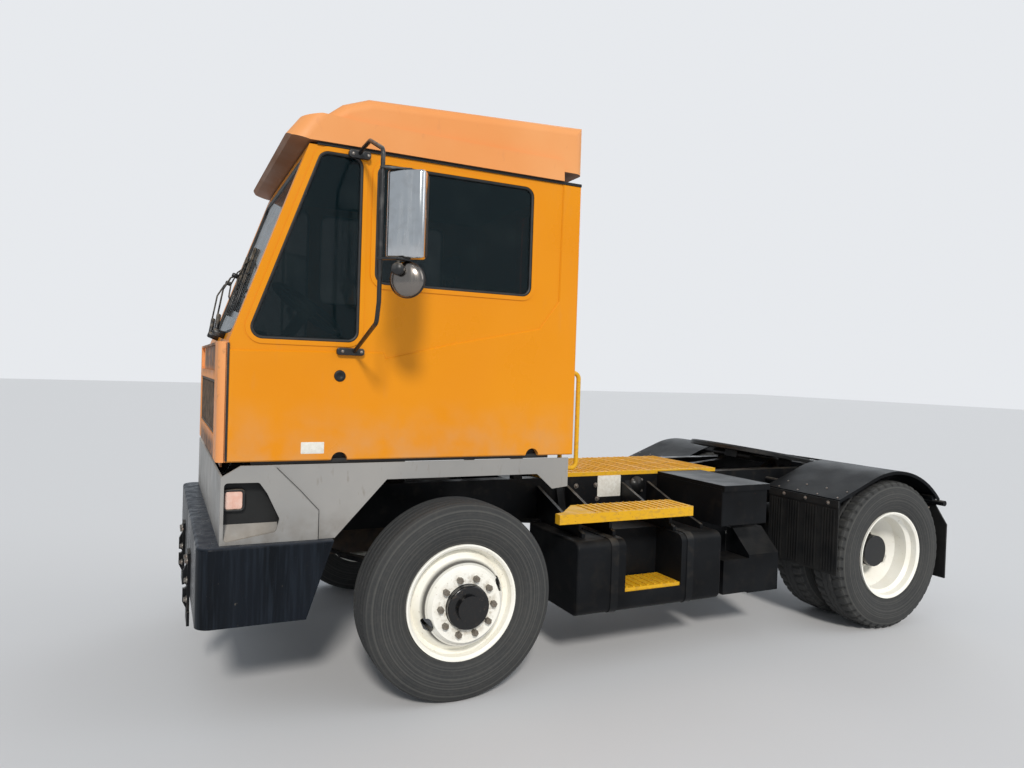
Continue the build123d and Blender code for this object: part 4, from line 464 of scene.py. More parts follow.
# %% Finishes on the other solids
finish_of = {
    chassis_paint: "frame_rails frame_crossmembers tow_plates tank_brackets fender_brackets boom "
                   "lift_barrels",
    bumper_paint: "front_bumper",
    tank_paint: "fuel_tank equipment_box",
    fender_paint: "rear_fenders",
    axle_paint: "front_axle front_springs knuckle_left knuckle_right tie_rod rear_axle propshaft",
    hood_paint: "front_fenders",
    cab_paint: "cab_side_left cab_side_right windscreen_frame cab_rear_wall rear_door",
    nose_paint: "cab_front",
    grille_grime: "grille",
    roof_paint: "roof_fairing",
    step_paint: "deck_plate side_step tank_tread grab_rail",
    greased_iron: "fifth_wheel coupling_ramps coupling_ears coupling_lock",
    cast_iron: "engine radiator",
    muffler_steel: "exhaust",
    dark_plastic: "headlamps cab_floor cab_roof_panel dashboard steering_wheel mirror_arms wipers",
    soft_rubber: "mud_guards",
    tyre_rubber: "tyre_front_left tyre_front_right tyres_rear_left tyres_rear_right",
    tinted_glass: "side_windows windscreen",
    bright_steel: "lift_rods mirror_heads",
    seat_cloth: "driver_seat",
    tail_lens: "rear_lamps",
}
for finish, labels in finish_of.items():
    for label in labels.split():
        dress(label, finish)
print("finished", sum(len(labels.split()) for labels in finish_of.values()) + 4, "of", len(nodes), "nodes")

# %% [markdown]
# ## Surfaces from two numbers
# Most added pieces are sheets that a pair of numbers runs over: round and across for a tyre, along
# and round for a tube. Worked out as whole arrays, such a grid is made in one step and keeps even
# faces, which shade cleanly. The helper below closes the grid in either direction when asked.

# %% Grids and pieces
def grid_faces(rows, columns, wrap_rows=False, wrap_columns=False):
    """Corner numbers of the quads of a grid: each has its own, the next column, the next row."""
    row = np.arange(rows if wrap_rows else rows - 1)
    column = np.arange(columns if wrap_columns else columns - 1)
    r, c = np.meshgrid(row, column, indexing="ij")
    r2, c2 = (r + 1) % rows, (c + 1) % columns
    quads = np.stack([r * columns + c, r * columns + c2, r2 * columns + c2, r2 * columns + c], axis=-1)
    return quads.reshape(-1, 4)


def stacked(parts):
    """Several (points, quads) pairs as one pair."""
    points, quads, start = [], [], 0
    for part_points, part_quads in parts:
        part_points = np.asarray(part_points, float).reshape(-1, 3)
        points.append(part_points)
        quads.append(np.asarray(part_quads) + start)
        start += len(part_points)
    return np.concatenate(points), np.concatenate(quads)


def piece(name, parts, finish, body, smooth=True):
    """A mesh object from a list of (points, quads) shapes in metres, riding on a body."""
    points, quads = stacked(parts)
    mesh = bpy.data.meshes.new(name)
    mesh.from_pydata(points.tolist(), [], quads.tolist())
    if len(mesh.polygons) < 60000:
        # the points at a pole of a turned shape become one; the large meshes, the tyres, have none
        work = bmesh.new()
        work.from_mesh(mesh)
        bmesh.ops.remove_doubles(work, verts=work.verts, dist=1e-6)
        work.to_mesh(mesh)
        work.free()
    mesh.update()
    mesh.polygons.foreach_set("use_smooth", [smooth] * len(mesh.polygons))
    mesh.materials.append(finish.material)
    made = link(bpy.data.objects.new(name, mesh))
    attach(made, body)
    return made


print("grid helper ready")

# %% [markdown]
# ## Tyres
# A truck tyre is one closed ring of rubber: bead, bulging wall, shoulder and tread. The front ones
# are steering tyres with straight ribs and thin grooves. The driven twins behind have a block tread
# that is notched deep at the shoulders. The tread could be cut out of a ring with booleans, which
# leaves long thin faces. Here the ring's radius is a function of the angle and of the place across
# it, so a groove is only a smaller radius, and the smooth wall needs no cutting at all.

# %% Shape of a tyre
# half width and radius, from the bead up to the shoulder
wall_profile = np.array([
    (0.0980, 0.2870), (0.1035, 0.2925), (0.1050, 0.3000), (0.1130, 0.3150), (0.1250, 0.3420),
    (0.1315, 0.3680), (0.1360, 0.3960), (0.1362, 0.4180), (0.1335, 0.4400), (0.1275, 0.4620),
    (0.1205, 0.4800), (0.1135, 0.4950), (0.1065, 0.5045), (0.0990, 0.5082),
])
tyre_radius, tread_half_width = 0.512, 0.099
lug_count = 46


def smooth_step(value, low, high):
    """0 below low, 1 above high, with a soft turn between: 3 t^2 - 2 t^3."""
    t = np.clip((value - low) / (high - low), 0, 1)
    return t * t * (3 - 2 * t)


def half_section(count):
    """The wall profile resampled evenly by its length, as a rounded curve through its points."""
    step = np.r_[0, np.cumsum(np.hypot(*np.diff(wall_profile, axis=0).T))]
    even = np.linspace(0, step[-1], count)
    width, radius = (np.interp(even, step, column) for column in wall_profile.T)
    kernel = np.array([0.25, 0.5, 0.25])
    width[1:-1] = np.convolve(width, kernel, "valid")
    radius[1:-1] = np.convolve(radius, kernel, "valid")
    # thin raised rings run round every wall, two near the rim and one under the shoulder
    for ring_radius, height in [(0.332, 0.0022), (0.472, 0.0018), (0.300, 0.0016)]:
        width += height * np.exp(-((radius - ring_radius) / 0.0022) ** 2)
    return width, radius


def ribbed(angle, across):
    """Depth of a steering tread: four straight grooves, the outer ones edged by short cuts."""
    wave = 0.0012 * np.sin(angle * 90)
    depth = np.zeros_like(across)
    for middle in (-0.066, -0.024, 0.024, 0.066):
        depth = np.maximum(depth, 0.012 * (1 - smooth_step(np.abs(across - middle - wave), 0.0035, 0.0060)))
    cuts = 0.0035 * (np.sin(angle * 110) > 0.86) * (np.abs(np.abs(across) - 0.066) < 0.018)
    return np.maximum(depth, cuts)


def blocked(angle, across):
    """Depth of a drive tread: shoulder notches, offset from side to side, and two zigzag grooves."""
    turns = angle * lug_count / (2 * np.pi)
    slant = (np.abs(across) - 0.03) * 2.2
    phase = np.abs(((turns + np.where(across > 0, 0.0, 0.5) + slant) % 1.0) - 0.5)
    notch = 0.014 * (1 - smooth_step(phase, 0.13, 0.19)) * smooth_step(np.abs(across), 0.040, 0.046)
    zigzag = 0.010 * (np.abs((turns % 1.0) - 0.5) - 0.25)
    groove = 0.013 * (1 - smooth_step(np.abs(np.abs(across) - 0.040 - zigzag), 0.0035, 0.0060))
    middle = 0.010 * (1 - smooth_step(np.abs(across - 2 * zigzag), 0.0025, 0.0045))
    return np.maximum(np.maximum(notch, groove), middle)


def tyre(centre_x, centre_y, tread, around, tread_columns, wall_columns=22):
    """A closed ring: x = r sin(a), z = r cos(a), y across, r = profile - tread depth."""
    width, radius = half_section(wall_columns)
    crown = np.linspace(tread_half_width, -tread_half_width, tread_columns + 2)[1:-1]
    crown_radius = tyre_radius - 0.0038 * (np.abs(crown) / tread_half_width) ** 2.5
    across = np.concatenate([width, crown, -width[::-1]])
    profile = np.concatenate([radius, crown_radius, radius[::-1]])
    angle = np.linspace(0, 2 * np.pi, around, endpoint=False)
    a, y = np.meshgrid(angle, across, indexing="ij")
    r = np.broadcast_to(profile, a.shape).copy()
    on_tread = smooth_step(r, 0.487, 0.492)
    r -= tread(a, y) * on_tread
    points = np.stack([centre_x + r * np.sin(a), centre_y + y, axle_height + r * np.cos(a)], axis=-1)
    return points, grid_faces(around, len(across), True, True)


# %% Four tyre pieces
# piece, CAD node, body, axle, middles along Y, tread, steps round, steps over the tread
tyre_kinds = [
    ("ribbed_tyre_", "tyre_front_", "wheel_front_", front_axle_x, (1.020,), ribbed, 440, 66),
    ("block_tyres_", "tyres_rear_", "wheels_rear_", rear_axle_x, (1.075, 0.732), blocked, 460, 56),
]
for kind, cad_kind, body, axle_x, middles, tread, around, tread_columns in tyre_kinds:
    for side, hand in sides:
        shapes = [tyre(axle_x, side * y, tread, around, tread_columns) for y in middles]
        rubber = piece(kind + hand, shapes, tyre_rubber, body + hand)
        cad_node = cad_kind + hand
        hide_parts(cad_node)
        print(kind + hand, len(rubber.data.polygons) * 2, "triangles")

# %% [markdown]
# ## Rubber round the windows
# Each pane sits in a black rubber channel. The channel could be an outline given a bevel, but a
# profile carried along the opening gives the lip over the glass and the bead against the paint in
# one ring, and the ring stays the same width round the corners.

# %% Paths and rings
def corner_arcs(corners, before, after, radius, steps):
    """Arcs that round corners off, from the ways to the points before and after each one:
    their centres, and the steps of each arc as offsets from its centre."""
    before = before / np.linalg.norm(before, axis=1)[:, None]
    after = after / np.linalg.norm(after, axis=1)[:, None]
    half = np.arccos(np.clip((before * after).sum(1), -1, 1)) / 2
    inward = (before + after) / np.linalg.norm(before + after, axis=1)[:, None]
    centre = corners + inward * (radius / np.sin(half))[:, None]
    first = corners + before * (radius / np.tan(half))[:, None] - centre
    last = corners + after * (radius / np.tan(half))[:, None] - centre
    share = np.linspace(0, 1, steps)[None, :, None]
    sweep = np.pi - 2 * half[:, None, None]
    arc = np.sin((1 - share) * sweep) * first[:, None] + np.sin(share * sweep) * last[:, None]
    return centre[:, None], arc / np.sin(sweep)


def rounded(corners, radius, steps=7):
    """A closed path in a plane: straight sides, with an arc of this radius in each corner.
    Returns the points and, for each, the direction in the plane that points out of the opening."""
    corners = np.asarray(corners, float)
    centre, arc = corner_arcs(corners, np.roll(corners, 1, axis=0) - corners,
                              np.roll(corners, -1, axis=0) - corners, radius, steps)
    out = arc / np.linalg.norm(arc, axis=2, keepdims=True)
    return (centre + arc).reshape(-1, 2), out.reshape(-1, 2)


def round_box(half, radius, steps=6):
    """A rounded rectangle about the origin, from its half width and half height."""
    return rounded(np.array(half) * [(-1, -1), (1, -1), (1, 1), (-1, 1)], radius, steps)


def in_space(flat, origin, first, second):
    """Plane points to space: origin + u first + v second."""
    return np.asarray(origin) + flat[:, :1] * np.asarray(first) + flat[:, 1:2] * np.asarray(second)


def turning(path):
    """Twice the area inside a plane path: positive where it runs counter-clockwise."""
    u, v = np.asarray(path, float).T
    return u @ np.roll(v, -1) - v @ np.roll(u, -1)


def ring(outline, origin, first, second, lift, profile):
    """A closed ring: path + profile[0] times the outward direction + profile[1] times the lift.
    Which way the path, the profile and the three directions turn says how its faces point outward."""
    path = in_space(outline[0], origin, first, second)[:, None]
    out = in_space(outline[1], (0, 0, 0), first, second)[:, None]
    outward, lifted = np.asarray(profile, float).T[:, None, :, None]
    points = path + out * outward + np.asarray(lift) * lifted
    quads = grid_faces(len(path), len(profile), True, True)
    inward = turning(outline[0]) * turning(profile) * np.linalg.det([first, second, lift]) > 0
    return points, (quads[:, ::-1] if inward else quads)


along_x, along_y, along_z = np.eye(3)
# outward, lift: over the paint's edge, round, down onto the glass and back under
seal_profile = np.array([(0.003, -0.004), (0.003, 0.0045), (0.0005, 0.0070), (-0.006, 0.0078),
                         (-0.0125, 0.0055), (-0.0150, 0.0015), (-0.0140, -0.0035)])
pillar_foot_x, pillar_lean, pillar_low, pillar_rise = 2.400, 0.337, 1.800, 0.955
pillar_length = math.hypot(pillar_lean, pillar_rise)


def pillar_x(z):
    """Where the windscreen pillar's front edge is at a height."""
    return pillar_foot_x - pillar_lean * (z - pillar_low) / pillar_rise


pane_low, pane_high, pane_gap = 1.813, 2.731, 0.063
front_pane = [(pillar_x(pane_low) - pane_gap, pane_low), (1.800, pane_low), (1.800, pane_high),
              (pillar_x(pane_high) - pane_gap, pane_high)]
rear_pane = [(1.730, 2.110), (0.850, 2.110), (0.850, 2.710), (1.730, 2.710)]
seals = []
for corners in (front_pane, rear_pane):
    for side_y, facing in ((0.957, 1), (-0.467, -1)):
        seals.append(ring(rounded(corners, 0.055), (0, side_y, 0), along_x, along_z, facing * along_y,
                          seal_profile))

screen_middle = np.array([pillar_foot_x - pillar_lean / 2, 0.245, pillar_low + pillar_rise / 2])
screen_out = np.array([pillar_rise, 0.0, pillar_lean]) / pillar_length
screen_up = np.array([-pillar_lean, 0.0, pillar_rise]) / pillar_length
screen_half = (0.640, pillar_length / 2 - 0.045)
seals.append(ring(round_box(screen_half, 0.050, 7), screen_middle - 0.010 * screen_out, along_y, screen_up,
                  screen_out, seal_profile * (1.7, 1.25)))
window_seals = piece("window_seals", seals, seal_rubber, "cab")
print("window seals", len(window_seals.data.polygons), "faces")

# %% [markdown]
# ## Bolts and rivets
# Nothing on a truck is glued: rails, fenders, straps and tow plates show their fastenings, and their
# even rows give the eye a sense of size. One hexagon head with its washer, or one round head, is
# drawn as a small profile turned about an axis, then set down at every place as one array. A head
# is a few dozen faces, so hundreds of them stay light.

# %% Heads of fasteners
def turned(profile, sides):
    """A solid of revolution about Z: (radius, height) points turned through equal steps."""
    radius, height = np.asarray(profile, float).T
    angle = np.linspace(0, 2 * np.pi, sides, endpoint=False)
    points = np.stack([np.outer(np.cos(angle), radius), np.outer(np.sin(angle), radius),
                       np.broadcast_to(height, (sides, len(height)))], axis=-1)
    return points.reshape(-1, 3), grid_faces(sides, len(profile), True, False)


def set_down(shape, places, axes, size=1.0):
    """Copies of a shape at places, its Z laid along axes, as one (points, quads) pair."""
    points, quads = shape
    places = np.asarray(places, float)
    axes = np.broadcast_to(np.asarray(axes, float), places.shape)
    axes = axes / np.linalg.norm(axes, axis=1)[:, None]
    helper = np.where(np.abs(axes[:, :1]) < 0.9, [[1.0, 0, 0]], [[0, 1.0, 0]])
    first = np.cross(helper, axes)
    first /= np.linalg.norm(first, axis=1)[:, None]
    second = np.cross(axes, first)
    frame_of = np.stack([first, second, axes], axis=1)
    moved = np.einsum("pk,nkc->npc", points * size, frame_of) + places[:, None]
    shift = (np.arange(len(places)) * len(points))[:, None, None]
    return moved.reshape(-1, 3), (quads[None] + shift).reshape(-1, quads.shape[1])


def rows(*spans):
    """Every combination of the given X, Y and Z values, as an array of places."""
    return np.stack(np.meshgrid(*[np.atleast_1d(np.asarray(s, float)) for s in spans], indexing="ij"),
                    axis=-1).reshape(-1, 3)


hex_head = stacked([
    turned([(0, 0.0118), (0.0085, 0.0118), (0.0100, 0.0108), (0.0100, 0.0025), (0, 0.0025)], 6),
    turned([(0, 0.0030), (0.0142, 0.0030), (0.0148, 0.0022), (0.0148, -0.0010), (0, -0.0010)], 18),
])
round_head = turned([(0.0, 0.0050), (0.0030, 0.0047), (0.0055, 0.0036), (0.0072, 0.0016), (0.0076, -0.0010),
                     (0, -0.0010)], 12)

# %% Bolts of the frame
rail_web = 0.4325
# X and Z of the bolts that show on the rail's web
seen_on_rail = np.array([(0.196, 0.957), (0.045, 0.958), (0.185, 0.871), (0.030, 0.866), (-0.393, 0.948),
                         (-0.470, 0.861), (-0.628, 0.942), (-0.700, 0.870), (-0.850, 0.955), (-1.05, 0.860)])
left_bolts = np.insert(seen_on_rail, 1, rail_web, axis=1)
near_axle = rows((-1.84, -1.96), rail_web, (0.82, 0.90))
mirrored_y = np.array([1, -1, 1])
fastenings = [
    set_down(hex_head, left_bolts, along_y, 1.15),
    set_down(hex_head, left_bolts * mirrored_y, -along_y, 1.15),
    set_down(hex_head, near_axle, along_y, 1.1),
    set_down(hex_head, near_axle * mirrored_y, -along_y, 1.1),
    set_down(hex_head, rows(2.5315, (-0.435, -0.345, 0.345, 0.435), (0.46, 0.56, 0.66)), along_x, 1.25),
    set_down(hex_head, rows((2.36, 2.44), (-0.445, 0.445), (0.66, 0.78)), along_y, 0.9),
]
chassis_bolts = piece("chassis_bolts", fastenings, bolt_steel, "chassis", smooth=False)
print("bolts", len(chassis_bolts.data.polygons), "faces")

# %% Rivets of the rear fenders and the shields under them
lip = np.array([-1.361, 0.920])
slope = np.array([-0.93201, 0.36242])
sheet_up = np.array([slope[1], 0.0, -slope[0]])
half_sheet = 0.0031


def on_fender(distance, y):
    """Points on the fender's flat front: lip + distance x slope, lifted by half the sheet."""
    d, across = np.meshgrid(distance, y, indexing="ij")
    flat = np.stack([lip[0] + d * slope[0], across, lip[1] + d * slope[1]], axis=-1).reshape(-1, 3)
    return flat + sheet_up * half_sheet


rivet_y = np.array([0.66, 0.83, 1.00, 1.165])
rivet_sets = []
for side, hand in sides:
    rivet_sets += [
        set_down(round_head, on_fender([0.022, 0.118], side * rivet_y), sheet_up, 0.95),
        set_down(hex_head, rows(-1.3475, side * np.array([0.74, 0.93, 1.12]), 0.893), along_x, 0.9),
        set_down(round_head, rows(-2.4735, side * np.array([0.68, 0.90, 1.06]), 0.79), along_x, 1.3),
    ]
fender_rivets = piece("fender_rivets", rivet_sets, bolt_steel, "chassis")
print("rivets", len(fender_rivets.data.polygons), "faces")

# %% [markdown]
# ## The driver's seat
# Behind the tinted glass sits an air seat: a boxy pedestal, a deep cushion with two sewn channels,
# a backrest with side bolsters and a small headrest. A rounded block with a cloth picture on it
# would read as foam packing. Real covers are sewn smaller than their foam, so the cloth is pulled
# tight and crowns between its seams. A short cloth simulation with air pressed in gives that crown,
# and the channels are drawn into the result, because the remesh before it would wipe them out.

# %% Cushions
channel_width = 0.007


def pillow_block(middle, half, power, steps=40):
    """A closed superellipsoid: half * sign(t) |t|^(2/power) of the sine and cosine of two angles."""
    round_angle = np.linspace(-np.pi, np.pi, 2 * steps, endpoint=False)
    rise_angle = np.linspace(-np.pi / 2, np.pi / 2, steps)
    u, v = np.meshgrid(round_angle, rise_angle, indexing="ij")
    cu, su, cv, sv = (np.sign(t) * np.abs(t) ** (2.0 / power)
                      for t in (np.cos(u), np.sin(u), np.cos(v), np.sin(v)))
    body = np.stack([cv * cu, cv * su, sv], axis=-1)
    body[:, 0, :2] = body[:, -1, :2] = 0
    return body * np.array(half) + np.array(middle), grid_faces(2 * steps, steps, True, False)[:, ::-1]


def coordinates(mesh, name="co"):
    """Every vertex's place, or its normal, as an array."""
    flat = np.empty(len(mesh.vertices) * 3)
    mesh.vertices.foreach_get(name, flat)
    return flat.reshape(-1, 3)


def stuffed(name, middle, half, power, channels, cap, voxel):
    """A cushion: its block is remeshed and blown up as cloth for 20 frames, no point further than cap.
    Then channels (axis, place, depth) are pressed in by depth * exp(-(distance / width)^2)."""
    pad = piece(name, [pillow_block(middle, half, power)], seat_cloth, "cab")
    pad.data.remesh_voxel_size = voxel
    with bpy.context.temp_override(object=pad, active_object=pad, selected_objects=[pad]):
        bpy.ops.object.voxel_remesh()
    place_now = coordinates(pad.data)
    cloth = pad.modifiers.new("cover", "CLOTH")
    cloth.settings.use_pressure = True
    cloth.settings.uniform_pressure_force = 4.0
    cloth.settings.effector_weights.gravity = 0.0
    for step in range(1, 21):
        bpy.context.scene.frame_set(step)
    blown = coordinates(pad.evaluated_get(bpy.context.evaluated_depsgraph_get()).data)
    pad.modifiers.remove(cloth)
    bpy.context.scene.frame_set(1)
    move = blown - place_now
    far = np.linalg.norm(move, axis=1)[:, None]
    place_now = place_now + move * np.minimum(1.0, cap / np.maximum(far, 1e-9))
    normal = coordinates(pad.data, "normal")
    for axis, where, depth in channels:
        pressed = depth * np.exp(-((place_now[:, axis] - where) / channel_width) ** 2)
        place_now = place_now - normal * pressed[:, None]
    pad.data.vertices.foreach_set("co", place_now.reshape(-1))
    pad.data.update()
    smoother = pad.modifiers.new("smooth cover", "SUBSURF")
    smoother.levels = smoother.render_levels = 1
    pad.data.polygons.foreach_set("use_smooth", [True] * len(pad.data.polygons))
    print(name, len(pad.data.polygons), "faces before its subdivision")
    return pad


x_axis, y_axis, z_axis = range(3)
seat_y, side_channels = 0.45, (0.37, 0.53)
stuffed("seat_cushion", (1.43, seat_y, 1.560), (0.228, 0.208, 0.046), 4.5,
        [*((y_axis, y, 0.006) for y in side_channels), (x_axis, 1.33, 0.005)], 0.008, 0.006)
back_channels = [(z_axis, 1.76, 0.006), (z_axis, 1.96, 0.006), *((y_axis, y, 0.005) for y in side_channels)]
seat_back = stuffed("seat_backrest", (1.145, seat_y, 1.865), (0.048, 0.200, 0.280), 4.5, back_channels,
                    0.008, 0.006)
stuffed("seat_headrest", (1.130, seat_y, 2.300), (0.030, 0.115, 0.066), 4.0, [], 0.006, 0.005)

# %% Pedestal of the seat
def lofted(outline, low, high, ease):
    """A closed upright body on a plan outline, with its upper and lower rims eased by a quarter round."""
    path, out = outline
    turn = np.linspace(0, np.pi / 2, 4)
    inset = np.concatenate([ease * (1 - np.sin(turn)), ease * (1 - np.cos(turn))])
    height = np.concatenate([low + ease * (1 - np.cos(turn)), high - ease * (1 - np.sin(turn))])
    flat = path[:, None, :] - out[:, None, :] * inset[None, :, None]
    middle = np.broadcast_to(path.mean(0), (len(path), 1, 2))
    flat = np.concatenate([middle, flat, middle], axis=1)
    height = np.concatenate([[low], height, [high]])
    rise = np.broadcast_to(height[None, :, None], (len(path), len(height), 1))
    points = np.concatenate([flat, rise], axis=2)
    return points.reshape(-1, 3), grid_faces(len(path), len(height), True, False)[:, ::-1]


def upright_block(low, high, corner, ease=0.004, steps=5):
    """A box between two opposite corners, with rounded upright edges and eased rims."""
    (x0, y0, z0), (x1, y1, z1) = low, high
    return lofted(rounded([(x0, y0), (x1, y0), (x1, y1), (x0, y1)], corner, steps), z0, z1, ease)


post = turned([(0, 0.04), (0.007, 0.04), (0.007, -0.04), (0, -0.04)], 16)
seat_base = piece("seat_base", [
    upright_block((1.25, 0.30, 1.275), (1.60, 0.60, 1.44), 0.03),
    upright_block((1.21, 0.27, 1.44), (1.64, 0.63, 1.51), 0.05, 0.012),
    upright_block((1.115, 0.30, 1.44), (1.15, 0.60, 1.66), 0.012),
    set_down(post, [(1.13, 0.39, 2.20), (1.13, 0.51, 2.20)], along_z),
], dark_plastic, "cab")
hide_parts("driver_seat")
print("seat base", len(seat_base.data.polygons), "faces")


# %% [markdown]
# ## Mirrors
# Each door post carries a tall mirror and a round wide angle one on a bent tube. The heads stand
# turned, so that their glass looks back at the driver and their polished backs show ahead. The tube
# is welded steel, bent cold in a press. A curve with a bevel would pinch in its bends, so a round
# section is carried along straight runs and arcs, square to the way it goes at every step.

# %% Tubes and frames of reference
def bent_path(corners, radius, steps=9):
    """Straight runs with an arc of this radius at each inner corner, as points along one line."""
    corners = np.asarray(corners, float)
    inner = corners[1:-1]
    centre, arc = corner_arcs(inner, corners[:-2] - inner, corners[2:] - inner, radius, steps)
    return np.concatenate([corners[:1], (centre + arc).reshape(-1, 3), corners[-1:]])


def tube(path, radius, sides=20):
    """A closed round bar along a path that lies in one plane: p + r (cos(a) n + sin(a) b)."""
    way = np.gradient(path, axis=0)
    way /= np.linalg.norm(way, axis=1)[:, None]
    flat = np.cross(path[1] - path[0], path[-1] - path[0])
    flat = flat if np.linalg.norm(flat) > 1e-9 else np.cross(way[0], (0.31, 0.52, 0.79))
    normal = np.broadcast_to(flat / np.linalg.norm(flat), path.shape)
    across = np.cross(way, normal)
    angle = np.linspace(0, 2 * np.pi, sides, endpoint=False)[None, :, None]
    wall = path[:, None] + radius * (np.cos(angle) * normal[:, None] + np.sin(angle) * across[:, None])
    ends = [np.broadcast_to(path[k], (1, sides, 3)) for k in (0, -1)]
    points = np.concatenate([ends[0], wall, ends[1]])
    return points.reshape(-1, 3), grid_faces(len(points), sides, False, True)


def laid(shape, origin, first, second, third):
    """A shape moved into a frame: origin + x first + y second + z third. Mirrored, its faces turn."""
    points, quads = shape
    axes = np.array([first, second, third], float)
    mirrored = np.linalg.det(axes) < 0
    return np.asarray(points) @ axes + origin, (quads[:, ::-1] if mirrored else quads)


# %% Mirror shapes
head_x, head_turn, tip = 1.717, math.radians(53), 1.500
head_half = np.array([0.0875, 0.035])
head_corner, head_low, head_high = 0.022, 2.178, 2.565
tube_x, tube_y, foot_x, foot_z, top_z = 1.825, 1.405, 1.843, 1.768, 2.732
reach = float((head_half - head_corner) @ (math.cos(head_turn), math.sin(head_turn))) + head_corner
bowl_turn = np.linspace(0, np.pi / 2, 9)
bowl = np.column_stack([0.0785 * np.sin(bowl_turn), 0.008 + 0.032 * np.cos(bowl_turn)])
round_back = turned([*bowl, (0.0785, -0.006), (0, -0.006)], 40)
round_rim = turned([(0, 0.009), (0.078, 0.009), (0.0815, 0.006), (0.082, -0.002), (0.080, -0.010),
                    (0.074, -0.012), (0, -0.012)], 40)
round_glass = turned([(0, 0.024), (0.030, 0.0225), (0.055, 0.0180), (0.0735, 0.012), (0.0735, 0.0),
                      (0, 0.0)], 40)
knob = turned([(0, 0.030), (0.022, 0.028), (0.028, 0.020), (0.028, 0.004), (0.024, 0), (0, 0)], 24)
round_post = turned([(0, 0.0), (0.008, 0.0), (0.008, -0.06), (0, -0.06)], 16)
rubber_profile = [(0.004, -0.006), (0.004, 0.003), (0.0, 0.006), (-0.007, 0.006), (-0.010, 0.002),
                  (-0.010, -0.006)]


def head_point(side, along_head, ahead):
    """A place in plan: along a head's width from its middle, and ahead of it, away from the driver."""
    first = np.array([-math.sin(head_turn), side * math.cos(head_turn)])
    second = np.array([math.cos(head_turn), side * math.sin(head_turn)])
    return np.array([head_x, side * (tip - reach)]) + along_head * first + ahead * second


def flat_bar(a, b, low, thick=0.010, half=0.012):
    """A bar on edge between two plan points, with square ends."""
    way = (b - a) / np.linalg.norm(b - a)
    over = np.array([-way[1], way[0]]) * half
    outline = rounded([a - over - way * half, b - over + way * half, b + over + way * half,
                       a + over - way * half], 0.006, 3)
    return lofted(outline, low, low + thick, 0.001)


shells, frames, glasses, arms, joints = [], [], [], [], []
for side, cab_y in ((1, 0.970), (-1, -0.480)):
    corners = [head_point(side, x, y) for x, y in head_half * [(-1, -1), (1, -1), (1, 1), (-1, 1)]]
    shells.append(lofted(rounded(corners[::-side], head_corner, 6), head_low, head_high, 0.012))
    # the rubber that holds the glass runs round the face that looks back
    level_way = np.append(head_point(side, 1, 0) - head_point(side, 0, 0), 0)
    outward = np.append(head_point(side, 0, -1) - head_point(side, 0, 0), 0)
    middle = np.append(head_point(side, 0, -head_half[1]), (head_low + head_high) / 2)
    face = round_box((head_half[0] - 0.004, (head_high - head_low) / 2 - 0.006), 0.020)
    frames.append(ring(face, middle, level_way, along_z, outward, rubber_profile))
    pane = lofted((face[0] - face[1] * 0.008, face[1]), 0.0, 0.0035, 0.001)
    glasses.append(laid(pane, middle - outward * 0.0005, level_way, along_z, outward))
    # round mirror: a bulged back, a black rim and a bulged glass
    round_at = [np.append(head_point(side, 0.012, 0.0), head_low - 0.012 - 0.080)]
    shells.append(set_down(round_back, round_at, -outward))
    frames.append(set_down(round_rim, round_at, -outward))
    glasses.append(set_down(round_glass, round_at, outward))
    # tube, foot and top bracket with their screws, head brackets, knob and the round mirror's post
    stand_y = side * tube_y
    arms.append(tube(bent_path([
        (tube_x, cab_y + side * 0.010, foot_z), (tube_x, stand_y - side * 0.030, 1.893),
        (tube_x, stand_y, 1.983), (tube_x, stand_y, 2.652), (tube_x, stand_y - side * 0.230, 2.750),
        (tube_x, cab_y + side * 0.080, 2.748), (tube_x, cab_y + side * 0.012, 2.738)], 0.040), 0.010))
    for middle_x, middle_z, long, high in ((foot_x, foot_z, 0.136, 0.036), (tube_x, top_z, 0.110, 0.038)):
        bracket = lofted(round_box((long / 2, high / 2), high * 0.4), -0.001, 0.023, 0.004)
        arms.append(laid(bracket, (middle_x, cab_y, middle_z), along_x, along_z, side * along_y))
        screws = [(middle_x + k * long, cab_y + side * 0.022, middle_z) for k in (-0.38, 0.30)]
        joints.append(set_down(round_head, screws, side * along_y, 1.2))
    at_tube, at_head = np.array([tube_x, stand_y]), head_point(side, 0.010, 0.005)
    at_post = head_point(side, -0.015, 0.050)
    arms.append(flat_bar(at_tube, at_head, head_high + 0.0003))
    arms.append(flat_bar(at_tube, at_post, head_low - 0.0103))
    arms.append(flat_bar(at_post, at_head, head_low - 0.0103))
    knob_at = np.append(head_point(side, -0.015, 0.040), head_low - 0.051)
    arms.append(set_down(knob, [knob_at], -outward))
    arms.append(set_down(round_post, [np.append(at_post, head_low - 0.004)], along_z))

mirror_backs = piece("mirror_backs", shells, mirror_steel, "cab")
mirror_rims = piece("mirror_rims", frames, seal_rubber, "cab")
mirror_panes = piece("mirror_panes", glasses, mirror_glass, "cab")
mirror_tubes = piece("mirror_tubes", arms, mirror_black, "cab")
piece("mirror_screws", joints, bolt_steel, "cab")
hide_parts("mirror_heads")
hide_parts("mirror_arms")
mirror_pieces = (mirror_backs, mirror_rims, mirror_panes, mirror_tubes)
print("mirrors", sum(len(made.data.polygons) for made in mirror_pieces), "faces")


# %% [markdown]
# ## Lamps, plates and small fittings
# The headlamps are square glass blocks set deep in a black shell. The label on the cab side and the
# plate on the rail are blank. The bumper is one pressed sheet that turns the corner, so a bent strip
# carries its skin round there. Rubber under the cab's sill closes the gap that the cab needs to tip.
# Each could be a flat picture of itself, but even a thin plate shows its edge to a near lens, so
# each is a rounded outline carried a few millimetres outward.

